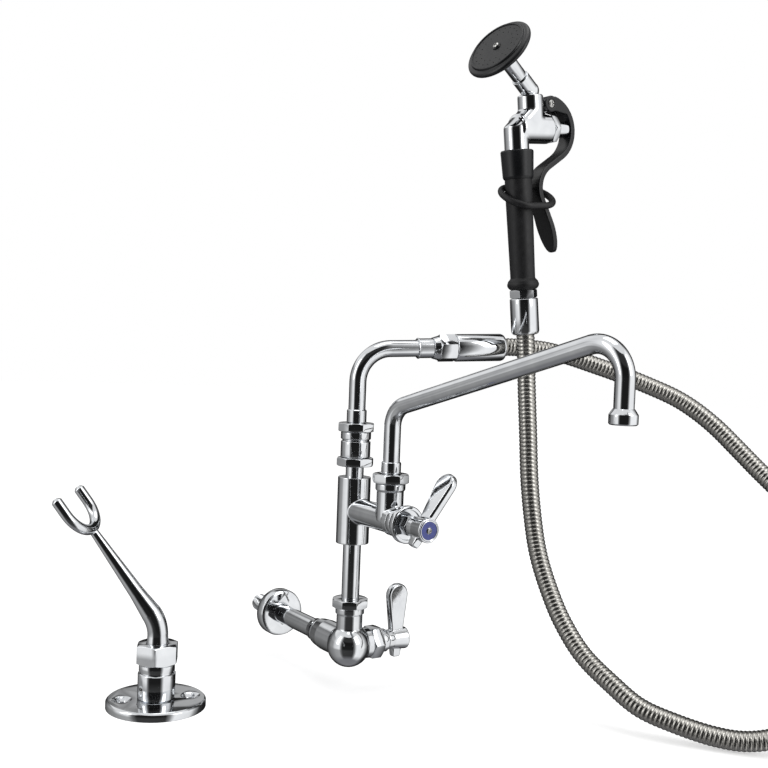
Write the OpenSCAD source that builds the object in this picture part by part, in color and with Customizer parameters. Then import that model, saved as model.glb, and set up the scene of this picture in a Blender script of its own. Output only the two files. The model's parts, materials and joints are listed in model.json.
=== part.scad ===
// Wall-mounted commercial faucet with an add-on valve, a swing spout, a hose-fed spray gun
// and a fork that parks the gun. Millimetres. The origin is the centre of the supply pipe
// at the wall's face, +Z is up, -Y leads out of the wall and +X runs along it.

/* [Supply] */
// Distance from the wall to the riser's axis
riser_reach = 170; // [150:1:220]
// Outside diameter of the supply pipe
pipe_d = 22.6; // [20:0.1:24]
// Bore of the supply pipe
pipe_bore_d = 15.8; // [10:0.1:17]
// Length of threaded pipe that goes into the wall
wall_tail = 50; // [20:1:80]
// Diameter of that thread
tail_d = 20.9; // [18:0.1:23.5]
// Diameter of the wall flange
flange_d = 57; // [45:1:75]
// Thickness of the wall flange
flange_t = 14; // [6:0.5:20]

/* [Inlet valve] */
// Diameter of the ball-shaped valve body
ball_d = 48; // [46:0.5:56]
// Diameter of the body's inlet boss
inlet_boss_d = 35; // [32:0.5:38]
// Distance from the riser's axis to the coupling
inlet_boss_reach = 60; // [50:1:90]
// Length of the coupling between pipe and body
coupling_l = 15; // [14:1:30]
// Diameter of the neck under the riser nut
neck_boss_d = 29; // [28.5:0.5:32]
// Height of the neck's top above the inlet axis
neck_boss_top = 43.5; // [38:0.5:50]
// Across flats of the side bonnet
bonnet_af = 33; // [31:0.5:36]
// Length of the side bonnet
bonnet_l = 14; // [10:0.5:18]
// Diameter of the ring behind the lever
lock_ring_d = 26; // [23:0.5:30]

/* [Column] */
// Outside diameter of the riser pipe
riser_d = 20; // [18:0.1:21]
// Bore of the riser, the nipple and the neck
water_bore_d = 15; // [10:0.1:15.5]
// Across flats of the eight-sided nuts on the column
nut_af = 39; // [37:0.5:42]
// Height of those nuts
nut_h = 9.3; // [8:0.1:12]
// Height of the tee's foot above the inlet axis
tee_foot = 115.5; // [100:0.5:150]
// Height of the tee
tee_h = 73.8; // [66:0.2:90]
// Diameter of the tee
tee_d = 36.6; // [34:0.2:42]
// Length of nipple that shows above the tee
nipple_l = 12.2; // [8:0.2:20]
// Height of the swivel body between its nuts
swivel_h = 28.5; // [24:0.5:40]
// Diameter of the swivel body
swivel_d = 33; // [31:0.5:36]

/* [Add-on valve] */
// Height of the branch axis above the tee's foot
branch_rise = 37; // [30:0.5:42]
// Diameter of the branch
branch_d = 28; // [26:0.5:31]
// Distance from the riser's axis to the spout's axis
spout_offset = 72; // [68:0.5:90]
// Diameter of the bonnet's flange ring
ring_flange_d = 39.5; // [36:0.5:44]
// Turn of the upper lever from upright
upper_lever_turn = 33; // [0:1:60]

/* [Levers] */
// Length of a lever from the stem's axis to its tip
lever_l = 64; // [50:1:80]
// Width of a lever near its tip
lever_w = 27; // [16:0.5:30]
// Thickness of a lever at its root
lever_t = 9.6; // [6:0.2:12]
// Diameter of a lever's hub at its outer end
hub_d = 25.5; // [24:0.5:30]
// Length of a lever's hub
hub_l = 20; // [20:0.5:26]
// Diameter of the valve stems
stem_d = 9; // [7:0.1:10]
// Diameter of the coloured index disc
index_d = 21.4; // [16:0.1:22]

/* [Spout] */
// Reach of the spout from its axis to its outlet
spout_reach = 293; // [150:1:360]
// Outside diameter of the spout's tube
spout_d = 18; // [16:0.1:19]
// Bore of the spout's tube
spout_bore_d = 15; // [10:0.1:15.5]
// Slope of the spout's long run
spout_slope = 16.3; // [5:0.1:25]
// Height of the elbow at the spout's foot above the branch axis
spout_knee = 117.5; // [100:0.5:150]
// Height of the outlet's rim above the branch axis
outlet_rise = 124.5; // [100:0.5:128]
// Diameter of the outlet's collar
outlet_d = 25.5; // [23:0.5:30]
// Across flats of the spout's nut
spout_nut_af = 37; // [34:0.5:40]
// Swing of the spout, with 0 along the wall to the right
spout_turn = -82; // [-110:1:-60]

/* [Neck] */
// Height of the neck's level run above the inlet axis
neck_height = 332.8; // [320:0.2:400]
// Outside diameter of the neck's tube
neck_d = 19; // [17:0.1:20]
// Bend radius of the neck
neck_bend = 38; // [30:1:40]
// Turn of the neck, with 0 along the wall to the right
neck_turn = -17; // [-40:1:10]
// Rise of the neck's run towards the hose
neck_rise = 2.5; // [0:0.1:6]
// Length of straight tube in the neck's run
neck_run = 49; // [40:1:80]
// Diameter of the sleeves on the hose's ends
sleeve_d = 31.4; // [29:0.2:34]

/* [Hose] */
// Outside diameter of the hose
hose_d = 20.6; // [18:0.1:21]
// Bore of the hose
hose_bore_d = 13; // [8:0.1:14]
// Number of ribs along the hose
rib_count = 180; // [100:1:200]

/* [Spray gun] */
// Place of the gun's foot along the wall
gun_x = 164; // [160:1:168]
// Distance of the gun's foot from the wall
gun_out = 258; // [254:1:262]
// Height of the gun's foot
gun_foot = 354; // [352:1:370]
// Lean of the gun away from its trigger
gun_tilt = 6.6; // [5:0.1:8]
// Diameter of the grip at its top
grip_d = 30; // [28:0.2:30.4]
// Diameter of the body's barrel inside the collar
barrel_d = 27.4; // [26:0.2:28]
// Distance of the body's upper bore behind the grip's axis
upper_offset = 22.7; // [18:0.1:23]
// Diameter of the boss that holds the plunger
boss_d = 32.5; // [30:0.5:34]
// Diameter of the plunger
plunger_d = 18; // [14:0.5:20]
// Width of the trigger
trigger_w = 20; // [18:0.5:24]
// Width of the trigger's tail
tail_w = 24.5; // [22:0.5:30]
// Thickness of the trigger's blade
trigger_t = 6; // [4:0.2:7]
// Diameter of the spray head
head_d = 77.5; // [60:0.5:90]
// Thickness of the spray head
head_t = 11.6; // [9:0.2:14]
// Lift of the spray head's axis above level
head_lift = 38.5; // [34:0.5:60]
// Turn of the spray head out of the gun's plane
head_turn = 11; // [-20:0.5:20]

/* [Fork holder] */
// Place of the holder along the wall
holder_x = -310.7; // [-400:0.1:-250]
// Distance of the holder from the wall
holder_out = 378.4; // [300:0.1:450]
// Height of the face that the holder stands on
holder_foot = 43; // [0:0.5:60]
// Diameter of the holder's flange
holder_d = 79; // [70:1:100]
// Thickness of the holder's flange
holder_t = 7; // [5:0.5:10]
// Circle on which the screw holes lie
holder_pcd = 54; // [48:1:60]
// Diameter of the screw holes
holder_hole_d = 8; // [4:0.5:9]
// Diameter of the holder's collar
collar_d = 29.8; // [28:0.2:36]
// Across flats of the holder's nut
holder_nut_af = 30.8; // [29:0.2:38]
// Diameter of the fork's rod at its foot
rod_d = 17.4; // [15:0.2:19]
// Lean of the fork from upright
fork_lean = 36.6; // [20:0.2:50]
// Direction in which the fork leans
fork_turn = 147; // [90:1:180]
// Twist of the prongs about the leaning rod
fork_twist = -11; // [-45:1:45]
// Length of the leaning rod
rod_l = 82; // [40:1:120]
// Gap between the prongs
fork_gap = 32.5; // [32:0.5:40]
// Diameter of a prong
prong_d = 8.6; // [6:0.2:10]
// Straight length of a prong
prong_l = 12; // [8:1:40]

/* [Hidden] */
$fn = 96;
clear = 0.05;
lap = 0.4;
slip = 0.1;
run_gap = 0.3;
oct = 1 / cos(22.5);
chamfer = 1.4;
nut_turn = 11.5;
thread_in = 6.5;
socket = 12;

// Heights up the column
nut_foot = neck_boss_top;
tee_top = tee_foot + tee_h;
column_nut_z = tee_top + nipple_l;
swivel_z = column_nut_z + nut_h + 0.4;
swivel_top = swivel_z + swivel_h;
neck_nut_z = swivel_top + 0.3;
neck_foot = swivel_top - 8;
neck_bend_z = neck_height - neck_bend;
thread_d = 27;
inlet_cone_l = 14;

// The lower valve, along +X from the riser's axis
bonnet_x = ball_d / 2 + 1;
lock_ring_x = bonnet_x + bonnet_l;
lock_ring_l = 9;
skirt_x = lock_ring_x + lock_ring_l + 1;
skirt_l = 6.5;
lower_hub_x = skirt_x + skirt_l;

// The add-on valve, along -Y from the riser's axis
branch_z = tee_foot + branch_rise;
collar_foot = spout_offset + 7;
branch_l = spout_offset + 15.4;
bonnet_ring_l = 7.6;
bonnet_waist_l = 6;
ring_flange_t = 7;
ring_recess = 3;
bonnet_front = branch_l + bonnet_ring_l + bonnet_waist_l + ring_flange_t;
packing_l = 12;
upper_skirt_y = bonnet_front - ring_recess + packing_l + 1;
upper_hub_y = upper_skirt_y + skirt_l;
bonnet_ring_d = 31;

// The spout, with its own axis as Z
spout_boss_d = spout_nut_af / oct - 5.4;
spout_ring_d = spout_nut_af - 5;
spout_ring_z = branch_z + 31.5;
spout_ring_h = 7.5;
spout_nut_z = spout_ring_z + spout_ring_h + 0.3;
spout_nut_h = 9.6;
spout_thread_d = 25;
spout_foot = spout_ring_z + 2;
ferrule_wall = 1.5;
spout_ferrule_h = 12.4;
spout_knee_z = branch_z + spout_knee;
foot_bend = 25;
top_bend = 30;
foot_cut = foot_bend * tan((90 - spout_slope) / 2);
top_cut = top_bend * tan((90 + spout_slope) / 2);
spout_peak_z = spout_knee_z + spout_reach * tan(spout_slope);
outlet_z = branch_z + outlet_rise;
collar_h = 9;

// The neck, with its bend's start as its origin and its run along +X
run_x = neck_bend * (1 - sin(neck_rise));
run_z = neck_bend * cos(neck_rise);
ferrule_l = 18;
adaptor_l = 7;
hose_nut_l = 20;
hose_sleeve_l = 59;
hose_depth = 14;
hose_nut_af = 28;
adaptor_x = neck_run;
hose_nut_x = adaptor_x + adaptor_l;
hose_sleeve_x = hose_nut_x + hose_nut_l;

// The gun, with its foot as its origin, its axis as Z and the trigger at +X
gun_sleeve_l = 40.5;
gun_nut_l = 10;
gun_nut_af = 27.2;
heel_z = gun_sleeve_l + gun_nut_l;
heel_l = 11.3;
grip_top = 171.7;
collar_top = 203.2;
boss_z = 227;
boss_end = 45.3;
shoulder_z = 247;
body_top = 263.5;
barrel_foot = 155;
barrel_seat = collar_top - 3 + clear;
upper_d = 28.6;
pivot_x = 45.5;
pivot_z = 254;
pin_d = 5;
lug_d = 13;
lug_w = 9;
bonnet_flats = 29;
plunger_bonnet_l = 9;
plunger_neck_d = 8;
stroke = 1.7;
spring_d = 14;
spring_wire = 1.2;
spring_turns = 6;
spring_bed = 30;

// The trigger's centre line: an arch, a straight, a curve round the grip and a tail
arch_x = 41.2;
arch_z = 226;
arch_r = 34.5;
arch_from = 75;
arch_to = -60.7;
slant_l = 22.6;
waist_r = 28;
waist_turn = 81.7;
tail_r = 592;
tail_turn = 6.2;
pivot_r = 8.8;
cheek_gap = lug_w + 2 * run_gap + 0.4;
plunger_end = arch_x + arch_r - trigger_t / 2 - run_gap;

// The ring that slides on the grip
ring_wire = 7.5;
ring_span = 17;
ring_z = 153;
ring_tilt = 31;
ring_shift = 3;
ring_r = norm([(grip_d / 2 + ring_wire / 2 + run_gap) / cos(ring_tilt), ring_shift / sin(ring_tilt)]);

// The nozzle
elbow_z = 268.5;
elbow_sleeve_l = 21;
elbow_d = 20;
nozzle_d = 17;
face_reach = 70;
face_recess = 2.5;
face_rim = 8.4;

// The holder
neck_gap = 7.5;
collar_h2 = 20.8;
holder_top = holder_foot + holder_t;
holder_nut_z = holder_top + collar_h2 + neck_gap;
holder_nut_h = 15.8;
rod_bore_d = 12;
rod_knee = holder_nut_z + holder_nut_h + 6;
rod_mid_d = 16.4;
rod_waist_d = 12.2;
rod_waist_l = 20;
rod_bend = 30;
hole_turn = -15.5;

// Places and turns of the groups
module at_riser(z = 0) {
    translate([0, -riser_reach, z]) children();
}
module along_x() {
    rotate([90, 0, 90]) children();
}
module along_branch() {
    at_riser(branch_z) rotate([90, 0, 0]) children();
}
module at_spout() {
    translate([0, -riser_reach - spout_offset, 0]) rotate([0, 0, spout_turn]) children();
}
module at_neck() {
    at_riser(neck_bend_z) rotate([0, 0, neck_turn]) children();
}
module along_run(x) {
    at_neck() translate([run_x, 0, run_z]) rotate([0, -neck_rise, 0])
        translate([x, 0, 0]) rotate([0, 90, 0]) children();
}
module at_gun() {
    translate([gun_x, -gun_out, gun_foot]) rotate([0, -gun_tilt, 0]) children();
}
module at_nozzle() {
    at_gun() translate([upper_offset, 0, elbow_z]) rotate([0, 0, head_turn])
        rotate([0, head_lift - 90, 0]) children();
}
module at_holder(z = 0) {
    translate([holder_x, -holder_out, z]) children();
}

// A tube's straight length, the same length lapped into the bends at its ends, and a bend
module pipe(outer_d, bore_d, length) {
    difference() {
        cylinder(d = outer_d, h = length);
        translate([0, 0, -1]) cylinder(d = bore_d, h = length + 2);
    }
}
module run(outer_d, bore_d, length) {
    translate([0, 0, -lap]) pipe(outer_d - slip, bore_d + slip, length + 2 * lap);
}
module pipe_bend(outer_d, bore_d, radius, from, turn) {
    rotate([90, 0, 0]) rotate([0, 0, from]) rotate_extrude(angle = turn) translate([radius, 0])
        difference() {
            circle(d = outer_d);
            circle(d = bore_d);
        }
}

// A prism with flats, its edges turned down at both ends
module flats(sides, across, height) {
    corner_d = across / cos(180 / sides);
    intersection() {
        cylinder(d = corner_d, h = height, $fn = sides);
        union() {
            cylinder(d1 = across - 0.6, d2 = corner_d + 0.2, h = chamfer);
            translate([0, 0, chamfer]) cylinder(d = corner_d + 0.2, h = height - 2 * chamfer);
            translate([0, 0, height - chamfer])
                cylinder(d1 = corner_d + 0.2, d2 = across - 0.6, h = chamfer);
        }
    }
}

// An eight-sided gland nut: a tube passes its roof, and a thread fills its foot
module gland_nut(across, height, tube_d, male_d, depth) {
    difference() {
        rotate([0, 0, nut_turn + 22.5]) flats(8, across, height);
        translate([0, 0, -1]) cylinder(d = tube_d + 2 * clear, h = height + 2);
        translate([0, 0, -1]) cylinder(d = male_d + 2 * clear, h = depth + 1);
    }
}

// A turned ring with broken edges
module ring(outer_d, bore_d, height, edge = 0.8) {
    difference() {
        union() {
            cylinder(d1 = outer_d - 2 * edge, d2 = outer_d, h = edge);
            translate([0, 0, edge]) cylinder(d = outer_d, h = height - 2 * edge);
            translate([0, 0, height - edge]) cylinder(d1 = outer_d, d2 = outer_d - 2 * edge, h = edge);
        }
        translate([0, 0, -1]) cylinder(d = bore_d, h = height + 2);
    }
}

module supply_pipe() {
    shown = riser_reach - inlet_boss_reach - 4;
    color("silver") rotate([90, 0, 0]) difference() {
        union() {
            translate([0, 0, -wall_tail]) cylinder(d = tail_d, h = wall_tail + 1);
            cylinder(d = pipe_d, h = shown);
        }
        translate([0, 0, -wall_tail - 1]) cylinder(d = pipe_bore_d, h = wall_tail + shown + 2);
    }
}

module wall_flange() {
    edge = 2.4;
    color("silver") rotate([90, 0, 0]) difference() {
        rotate_extrude() polygon([
            [0, 0], [flange_d / 2, 0], [flange_d / 2, flange_t - 2 * edge],
            [flange_d / 2 - edge / 2, flange_t - edge / 2], [flange_d / 2 - 2 * edge, flange_t],
            [0, flange_t]
        ]);
        translate([0, 0, -1]) cylinder(d = pipe_d + 2 * clear, h = flange_t + 2);
    }
}

// A coned coupling that joins the pipe to the body
module inlet_coupling() {
    root = riser_reach - inlet_boss_reach;
    small = pipe_d + 3.4;
    large = inlet_boss_d - 3;
    color("silver") rotate([90, 0, 0]) translate([0, 0, root - coupling_l]) difference() {
        rotate_extrude() polygon([
            [0, 0], [small / 2 - 0.8, 0], [small / 2, 0.8], [small / 2, coupling_l * 0.4],
            [large / 2 - 0.6, coupling_l * 0.85], [large / 2 - 0.6, coupling_l], [0, coupling_l]
        ]);
        translate([0, 0, -1]) cylinder(d = pipe_bore_d, h = coupling_l + 2);
        translate([0, 0, -1]) cylinder(d = pipe_d + 2 * clear, h = coupling_l - 3 + clear);
    }
}

// The ball, with its inlet boss, the neck for the riser and the seat for the cartridge
module valve_body() {
    color("silver") at_riser() difference() {
        union() {
            sphere(d = ball_d);
            rotate([-90, 0, 0]) cylinder(d = inlet_boss_d, h = inlet_boss_reach - inlet_cone_l);
            translate([0, inlet_boss_reach - inlet_cone_l, 0]) rotate([-90, 0, 0])
                cylinder(d1 = inlet_boss_d, d2 = inlet_boss_d - 3, h = inlet_cone_l);
            cylinder(d = neck_boss_d, h = neck_boss_top);
            translate([0, 0, neck_boss_top - 7]) cylinder(d = neck_boss_d + 3.4, h = 7);
            cylinder(d = thread_d, h = neck_boss_top + thread_in);
            rotate([0, 90, 0]) cylinder(d = bonnet_af + 1, h = bonnet_x);
        }
        rotate([-90, 0, 0]) cylinder(d = pipe_bore_d, h = inlet_boss_reach + 1);
        cylinder(d = water_bore_d, h = neck_boss_top + thread_in + 1);
        translate([0, 0, neck_boss_top - 6]) cylinder(d = riser_d + 2 * clear, h = thread_in + 8);
        rotate([0, 90, 0]) cylinder(d = 20, h = bonnet_x + 1);
    }
}

module lower_bonnet() {
    color("silver") at_riser() translate([bonnet_x, 0, 0]) along_x() difference() {
        flats(6, bonnet_af, bonnet_l);
        translate([0, 0, -1]) cylinder(d = stem_d + 4, h = bonnet_l + 2);
    }
}

module lower_lock_ring() {
    color("silver") at_riser() translate([lock_ring_x, 0, 0]) along_x()
        ring(lock_ring_d, stem_d + 2 * run_gap, lock_ring_l);
}

// The quarter-turn cartridge: a sleeve that holds the discs round the stem
module cartridge(length) {
    difference() {
        cylinder(d = 20 - 2 * clear, h = length);
        translate([0, 0, 4]) cylinder(d = stem_d + 2 * run_gap, h = length);
        translate([0, 0, -1]) cylinder(d = 6, h = 6);
    }
}
module lower_cartridge() {
    length = bonnet_x - 9;
    color("gold") at_riser() translate([9, 0, 0]) along_x() cartridge(length);
}

module stem(length) {
    difference() {
        cylinder(d = stem_d, h = length);
        translate([0, 0, length - 9]) cylinder(d = 4 + 2 * clear, h = 10);
    }
}
module lower_stem() {
    foot = 9 + 4 + run_gap;
    color("gold") at_riser() translate([foot, 0, 0]) along_x() stem(lower_hub_x + hub_l - 4 - foot);
}

// A lever: a coned hub with a skirt, a paddle that broadens to its tip and a square stub
module lever() {
    tip_r = lever_w / 2;
    root_r = lever_w * 0.3;
    blade_z = skirt_l + hub_l / 2 - 2.5;
    difference() {
        union() {
            cylinder(d = hub_d - 3.5, h = skirt_l + 0.5);
            translate([0, 0, skirt_l]) cylinder(d1 = hub_d - 4, d2 = hub_d, h = hub_l - 1);
            translate([0, 0, skirt_l + hub_l - 1]) cylinder(d1 = hub_d, d2 = hub_d - 1.4, h = 1);
            translate([0, 0, blade_z]) hull() {
                translate([0, lever_l - tip_r, 0]) paddle_end(tip_r, lever_t * 0.92);
                translate([0, hub_d * 0.3, 0]) paddle_end(root_r, lever_t);
            }
            translate([0, 0, blade_z]) hull() {
                translate([0, -hub_d * 0.3, 0]) paddle_end(root_r * 0.85, lever_t);
                translate([0, -hub_d * 0.78, 0]) cube([lever_t * 0.7, 1, 7.5], center = true);
                translate([0, -hub_d * 0.74, 0]) cube([lever_t * 0.85, 1, 9], center = true);
            }
        }
        translate([0, 0, -1]) cylinder(d = stem_d + 2 * clear, h = skirt_l + hub_l - 4 + 1);
        translate([0, 0, -1]) cylinder(d = 4.4, h = skirt_l + hub_l + 2);
        translate([0, 0, skirt_l + hub_l - 1.2]) cylinder(d = index_d + 2 * clear, h = 2);
    }
}
module paddle_end(radius, thick) {
    rotate([0, 90, 0]) {
        cylinder(r = radius, h = thick * 0.55, center = true, $fn = 32);
        cylinder(r = radius - thick * 0.2, h = thick, center = true, $fn = 32);
    }
}
module lower_lever() {
    color("silver") at_riser() translate([skirt_x, 0, 0]) along_x() lever();
}

module index_disc() {
    translate([0, 0, skirt_l + hub_l - 1.2]) difference() {
        cylinder(d = index_d, h = 1.1);
        translate([0, 0, -1]) cylinder(d = 7, h = 3);
    }
}
module lower_index() {
    color("royalblue") at_riser() translate([skirt_x, 0, 0]) along_x() index_disc();
}

// A pan-head screw with a cross recess, its head's foot at z = 0
module cross_screw(head_d, head_h, shank_d, shank_l) {
    slot = head_d * 0.16;
    difference() {
        union() {
            cylinder(d = head_d, h = head_h * 0.6);
            translate([0, 0, head_h * 0.6]) cylinder(d1 = head_d, d2 = head_d * 0.6, h = head_h * 0.4);
            translate([0, 0, -shank_l]) cylinder(d = shank_d, h = shank_l + 0.5);
        }
        for (turn = [0, 90]) rotate([0, 0, turn])
            translate([-head_d * 0.28, -slot / 2, head_h * 0.45]) cube([head_d * 0.56, slot, head_h]);
    }
}
module lever_screw() {
    translate([0, 0, skirt_l + hub_l - 1.2]) cross_screw(6.6, 2.2, 4, 10);
}
module lower_lever_screw() {
    color("silver") at_riser() translate([skirt_x, 0, 0]) along_x() lever_screw();
}

module riser_nut() {
    color("silver") at_riser(nut_foot + 0.2)
        gland_nut(nut_af, nut_h, riser_d, thread_d, thread_in + 0.2);
}

module riser_pipe() {
    foot = neck_boss_top - 5.6;
    color("silver") at_riser(foot) pipe(riser_d, water_bore_d, tee_foot + socket - 0.4 - foot);
}

// The tee: an upright through body, a branch out to the valve and an outlet for the spout
module tee_body() {
    outlet_foot = branch_z;
    color("silver") difference() {
        union() {
            at_riser(tee_foot) cylinder(d = tee_d, h = tee_h);
            along_branch() cylinder(d = branch_d, h = branch_l - 1);
            along_branch() translate([0, 0, collar_foot])
                cylinder(d = bonnet_ring_d, h = branch_l - collar_foot);
            translate([0, -riser_reach - spout_offset, 0]) {
                translate([0, 0, outlet_foot]) cylinder(d = spout_boss_d, h = spout_ring_z - outlet_foot);
                translate([0, 0, spout_ring_z]) ring(spout_ring_d, 1, spout_ring_h);
                translate([0, 0, spout_ring_z]) cylinder(d = spout_thread_d, h = spout_ring_h + thread_in);
            }
        }
        at_riser(tee_foot - 1) cylinder(d = water_bore_d, h = tee_h + 2);
        at_riser(tee_foot - 1) cylinder(d = riser_d + 2 * clear, h = socket + 1);
        at_riser(tee_top - socket) cylinder(d = riser_d + 2 * clear, h = socket + 1);
        along_branch() cylinder(d = water_bore_d, h = branch_l + 1);
        along_branch() translate([0, 0, branch_l - 30]) cylinder(d = 20, h = 31);
        translate([0, -riser_reach - spout_offset, 0]) {
            translate([0, 0, branch_z]) cylinder(d = spout_bore_d - 2, h = 60);
            translate([0, 0, spout_foot - lap - run_gap]) cylinder(d = spout_d + 2 * run_gap, h = 60);
            translate([0, 0, spout_foot + 4]) cylinder(d = 22, h = 3.4);
        }
    }
}

// The bonnet of the add-on valve: a collar, a waist and a broad ring with a dished front
module branch_bonnet() {
    waist_end = bonnet_ring_l + bonnet_waist_l;
    color("silver") along_branch() translate([0, 0, branch_l]) difference() {
        union() {
            cylinder(d = bonnet_ring_d, h = bonnet_ring_l - 0.8);
            translate([0, 0, bonnet_ring_l - 0.8])
                cylinder(d1 = bonnet_ring_d, d2 = bonnet_ring_d - 1.6, h = 0.8);
            cylinder(d = bonnet_ring_d - 4, h = waist_end + 1);
            translate([0, 0, waist_end]) ring(ring_flange_d, 1, ring_flange_t, 1.2);
        }
        translate([0, 0, -1]) cylinder(d = stem_d + 2 * run_gap, h = 40);
        translate([0, 0, waist_end + ring_flange_t - ring_recess])
            cylinder(d = ring_flange_d - 8, h = ring_recess + 1);
    }
}

module packing_nut() {
    color("silver") along_branch() translate([0, 0, bonnet_front - ring_recess]) difference() {
        flats(6, 19, packing_l);
        translate([0, 0, -1]) cylinder(d = stem_d + 2 * run_gap, h = packing_l + 2);
    }
}

module upper_cartridge() {
    color("gold") along_branch() translate([0, 0, branch_l - 22]) cartridge(22);
}
module upper_stem() {
    foot = branch_l - 22 + 4 + run_gap;
    color("gold") along_branch() translate([0, 0, foot]) stem(upper_hub_y + hub_l - 4 - foot);
}
module upper_lever() {
    color("silver") along_branch() translate([0, 0, upper_skirt_y])
        rotate([0, 0, -upper_lever_turn]) lever();
}
module upper_index() {
    color("royalblue") along_branch() translate([0, 0, upper_skirt_y]) index_disc();
}
module upper_lever_screw() {
    color("silver") along_branch() translate([0, 0, upper_skirt_y]) lever_screw();
}

module spout_nut() {
    color("silver") translate([0, -riser_reach - spout_offset, spout_nut_z]) difference() {
        rotate([0, 0, nut_turn + 29.5]) flats(8, spout_nut_af, spout_nut_h);
        translate([0, 0, -1]) cylinder(d = spout_d + 2 * run_gap, h = spout_nut_h + 2);
        translate([0, 0, -1]) cylinder(d = spout_thread_d + 2 * clear, h = thread_in + 1.2);
    }
}

// The swing spout: up, over a slow slope and down to its outlet
module spout_tube() {
    slope_l = spout_reach / cos(spout_slope) - foot_cut - top_cut;
    color("silver") at_spout() {
        translate([0, 0, spout_foot]) run(spout_d, spout_bore_d, spout_knee_z - foot_cut - spout_foot);
        translate([foot_bend, 0, spout_knee_z - foot_cut])
            pipe_bend(spout_d, spout_bore_d, foot_bend, 90 + spout_slope, 90 - spout_slope);
        translate([foot_cut * cos(spout_slope), 0, spout_knee_z + foot_cut * sin(spout_slope)])
            rotate([0, 90 - spout_slope, 0]) run(spout_d, spout_bore_d, slope_l);
        translate([spout_reach - top_bend, 0, spout_peak_z - top_cut])
            pipe_bend(spout_d, spout_bore_d, top_bend, 0, 90 + spout_slope);
        translate([spout_reach, 0, outlet_z + 2 + lap])
            run(spout_d, spout_bore_d, spout_peak_z - top_cut - outlet_z - 2 - lap);
    }
}

module spout_ferrule() {
    color("silver") at_spout() translate([0, 0, spout_nut_z + spout_nut_h + run_gap])
        ring(spout_d + 2 * ferrule_wall, spout_d + 2 * clear, spout_ferrule_h);
}

module spout_seal() {
    color("dimgray") translate([0, -riser_reach - spout_offset, spout_foot + 5.7]) rotate_extrude()
        translate([spout_d / 2 + run_gap + 0.8, 0]) circle(d = 1.6);
}

module outlet_collar() {
    foot = 5;
    bore = spout_d + 2 * clear;
    color("silver") at_spout() translate([spout_reach, 0, outlet_z]) difference() {
        rotate_extrude() polygon([
            [0, 0], [outlet_d / 2 - 1.2, 0], [outlet_d / 2, 1.2], [outlet_d / 2, collar_h],
            [spout_d / 2 + 0.5, collar_h + foot], [0, collar_h + foot]
        ]);
        translate([0, 0, 2]) cylinder(d = bore, h = collar_h + foot);
        translate([0, 0, -1]) cylinder(d = spout_bore_d + 2, h = 4);
    }
}

// A perforated disc inside the outlet
module flow_straightener() {
    color("dimgray") at_spout() translate([spout_reach, 0, outlet_z + 0.3]) difference() {
        cylinder(d = spout_bore_d + 2 - 2 * clear, h = 1.6);
        for (turn = [0 : 60 : 300]) rotate([0, 0, turn]) translate([5, 0, -1]) cylinder(d = 2.6, h = 4);
        translate([0, 0, -1]) cylinder(d = 2.6, h = 4);
    }
}

module column_nipple() {
    foot = tee_top - socket + 0.4;
    color("silver") at_riser(foot) pipe(riser_d, water_bore_d, swivel_z + 6 - foot);
}

module column_nut() {
    color("silver") at_riser(column_nut_z) difference() {
        rotate([0, 0, nut_turn + 17.5]) flats(8, nut_af, nut_h);
        translate([0, 0, -1]) cylinder(d = riser_d + 2 * clear, h = nut_h + 2);
    }
}

// The body in which the neck's foot turns: a barrel, a groove and a ring under the nut
module swivel_body() {
    ring_h = 8.6;
    groove = 1.6;
    barrel_h = swivel_h - ring_h - groove;
    color("silver") at_riser(swivel_z) difference() {
        union() {
            ring(swivel_d, 1, barrel_h);
            cylinder(d = swivel_d - 3, h = swivel_h - 1);
            translate([0, 0, barrel_h + groove]) ring(swivel_d + 0.6, 1, ring_h);
            cylinder(d = thread_d, h = swivel_h + thread_in);
        }
        translate([0, 0, -1]) cylinder(d = water_bore_d, h = swivel_h + thread_in + 2);
        translate([0, 0, -1]) cylinder(d = riser_d + 2 * clear, h = 7.2);
        translate([0, 0, swivel_h - 8 - lap - run_gap]) cylinder(d = neck_d + 2 * run_gap, h = 40);
        translate([0, 0, swivel_h - 3]) cylinder(d = neck_d + 4, h = 3.4);
    }
}

module neck_seal() {
    color("dimgray") at_riser(swivel_top - 1.3) rotate_extrude()
        translate([neck_d / 2 + run_gap + 0.8, 0]) circle(d = 1.6);
}

module neck_nut() {
    color("silver") at_riser(neck_nut_z) difference() {
        rotate([0, 0, nut_turn + 22.5]) flats(8, nut_af, nut_h);
        translate([0, 0, -1]) cylinder(d = neck_d + 2 * run_gap, h = nut_h + 2);
        translate([0, 0, -1]) cylinder(d = thread_d + 2 * clear, h = thread_in + 1.2);
    }
}

module neck_tube() {
    color("silver") {
        at_riser(neck_foot) run(neck_d, water_bore_d, neck_bend_z - neck_foot);
        at_neck() translate([neck_bend, 0, 0])
            pipe_bend(neck_d, water_bore_d, neck_bend, 90 + neck_rise, 90 - neck_rise);
        along_run(0) run(neck_d, water_bore_d, neck_run + 5);
    }
}

module neck_ferrules() {
    ferrule_d = neck_d + 2 * ferrule_wall;
    color("silver") {
        at_riser(neck_nut_z + nut_h + run_gap) ring(ferrule_d, neck_d + 2 * clear, 14.5);
        along_run(neck_run - ferrule_l) {
            ring(ferrule_d + 0.4, neck_d + 2 * clear, ferrule_l);
            ring(ferrule_d + 1.6, neck_d + 2 * clear, 2.6);
        }
    }
}

module hose_adaptor() {
    color("silver") along_run(adaptor_x) difference() {
        cylinder(d1 = 24, d2 = 28, h = adaptor_l);
        translate([0, 0, -1]) cylinder(d = water_bore_d, h = adaptor_l + 2);
        translate([0, 0, -1]) cylinder(d = neck_d + 2 * clear, h = 6.6);
    }
}

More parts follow.
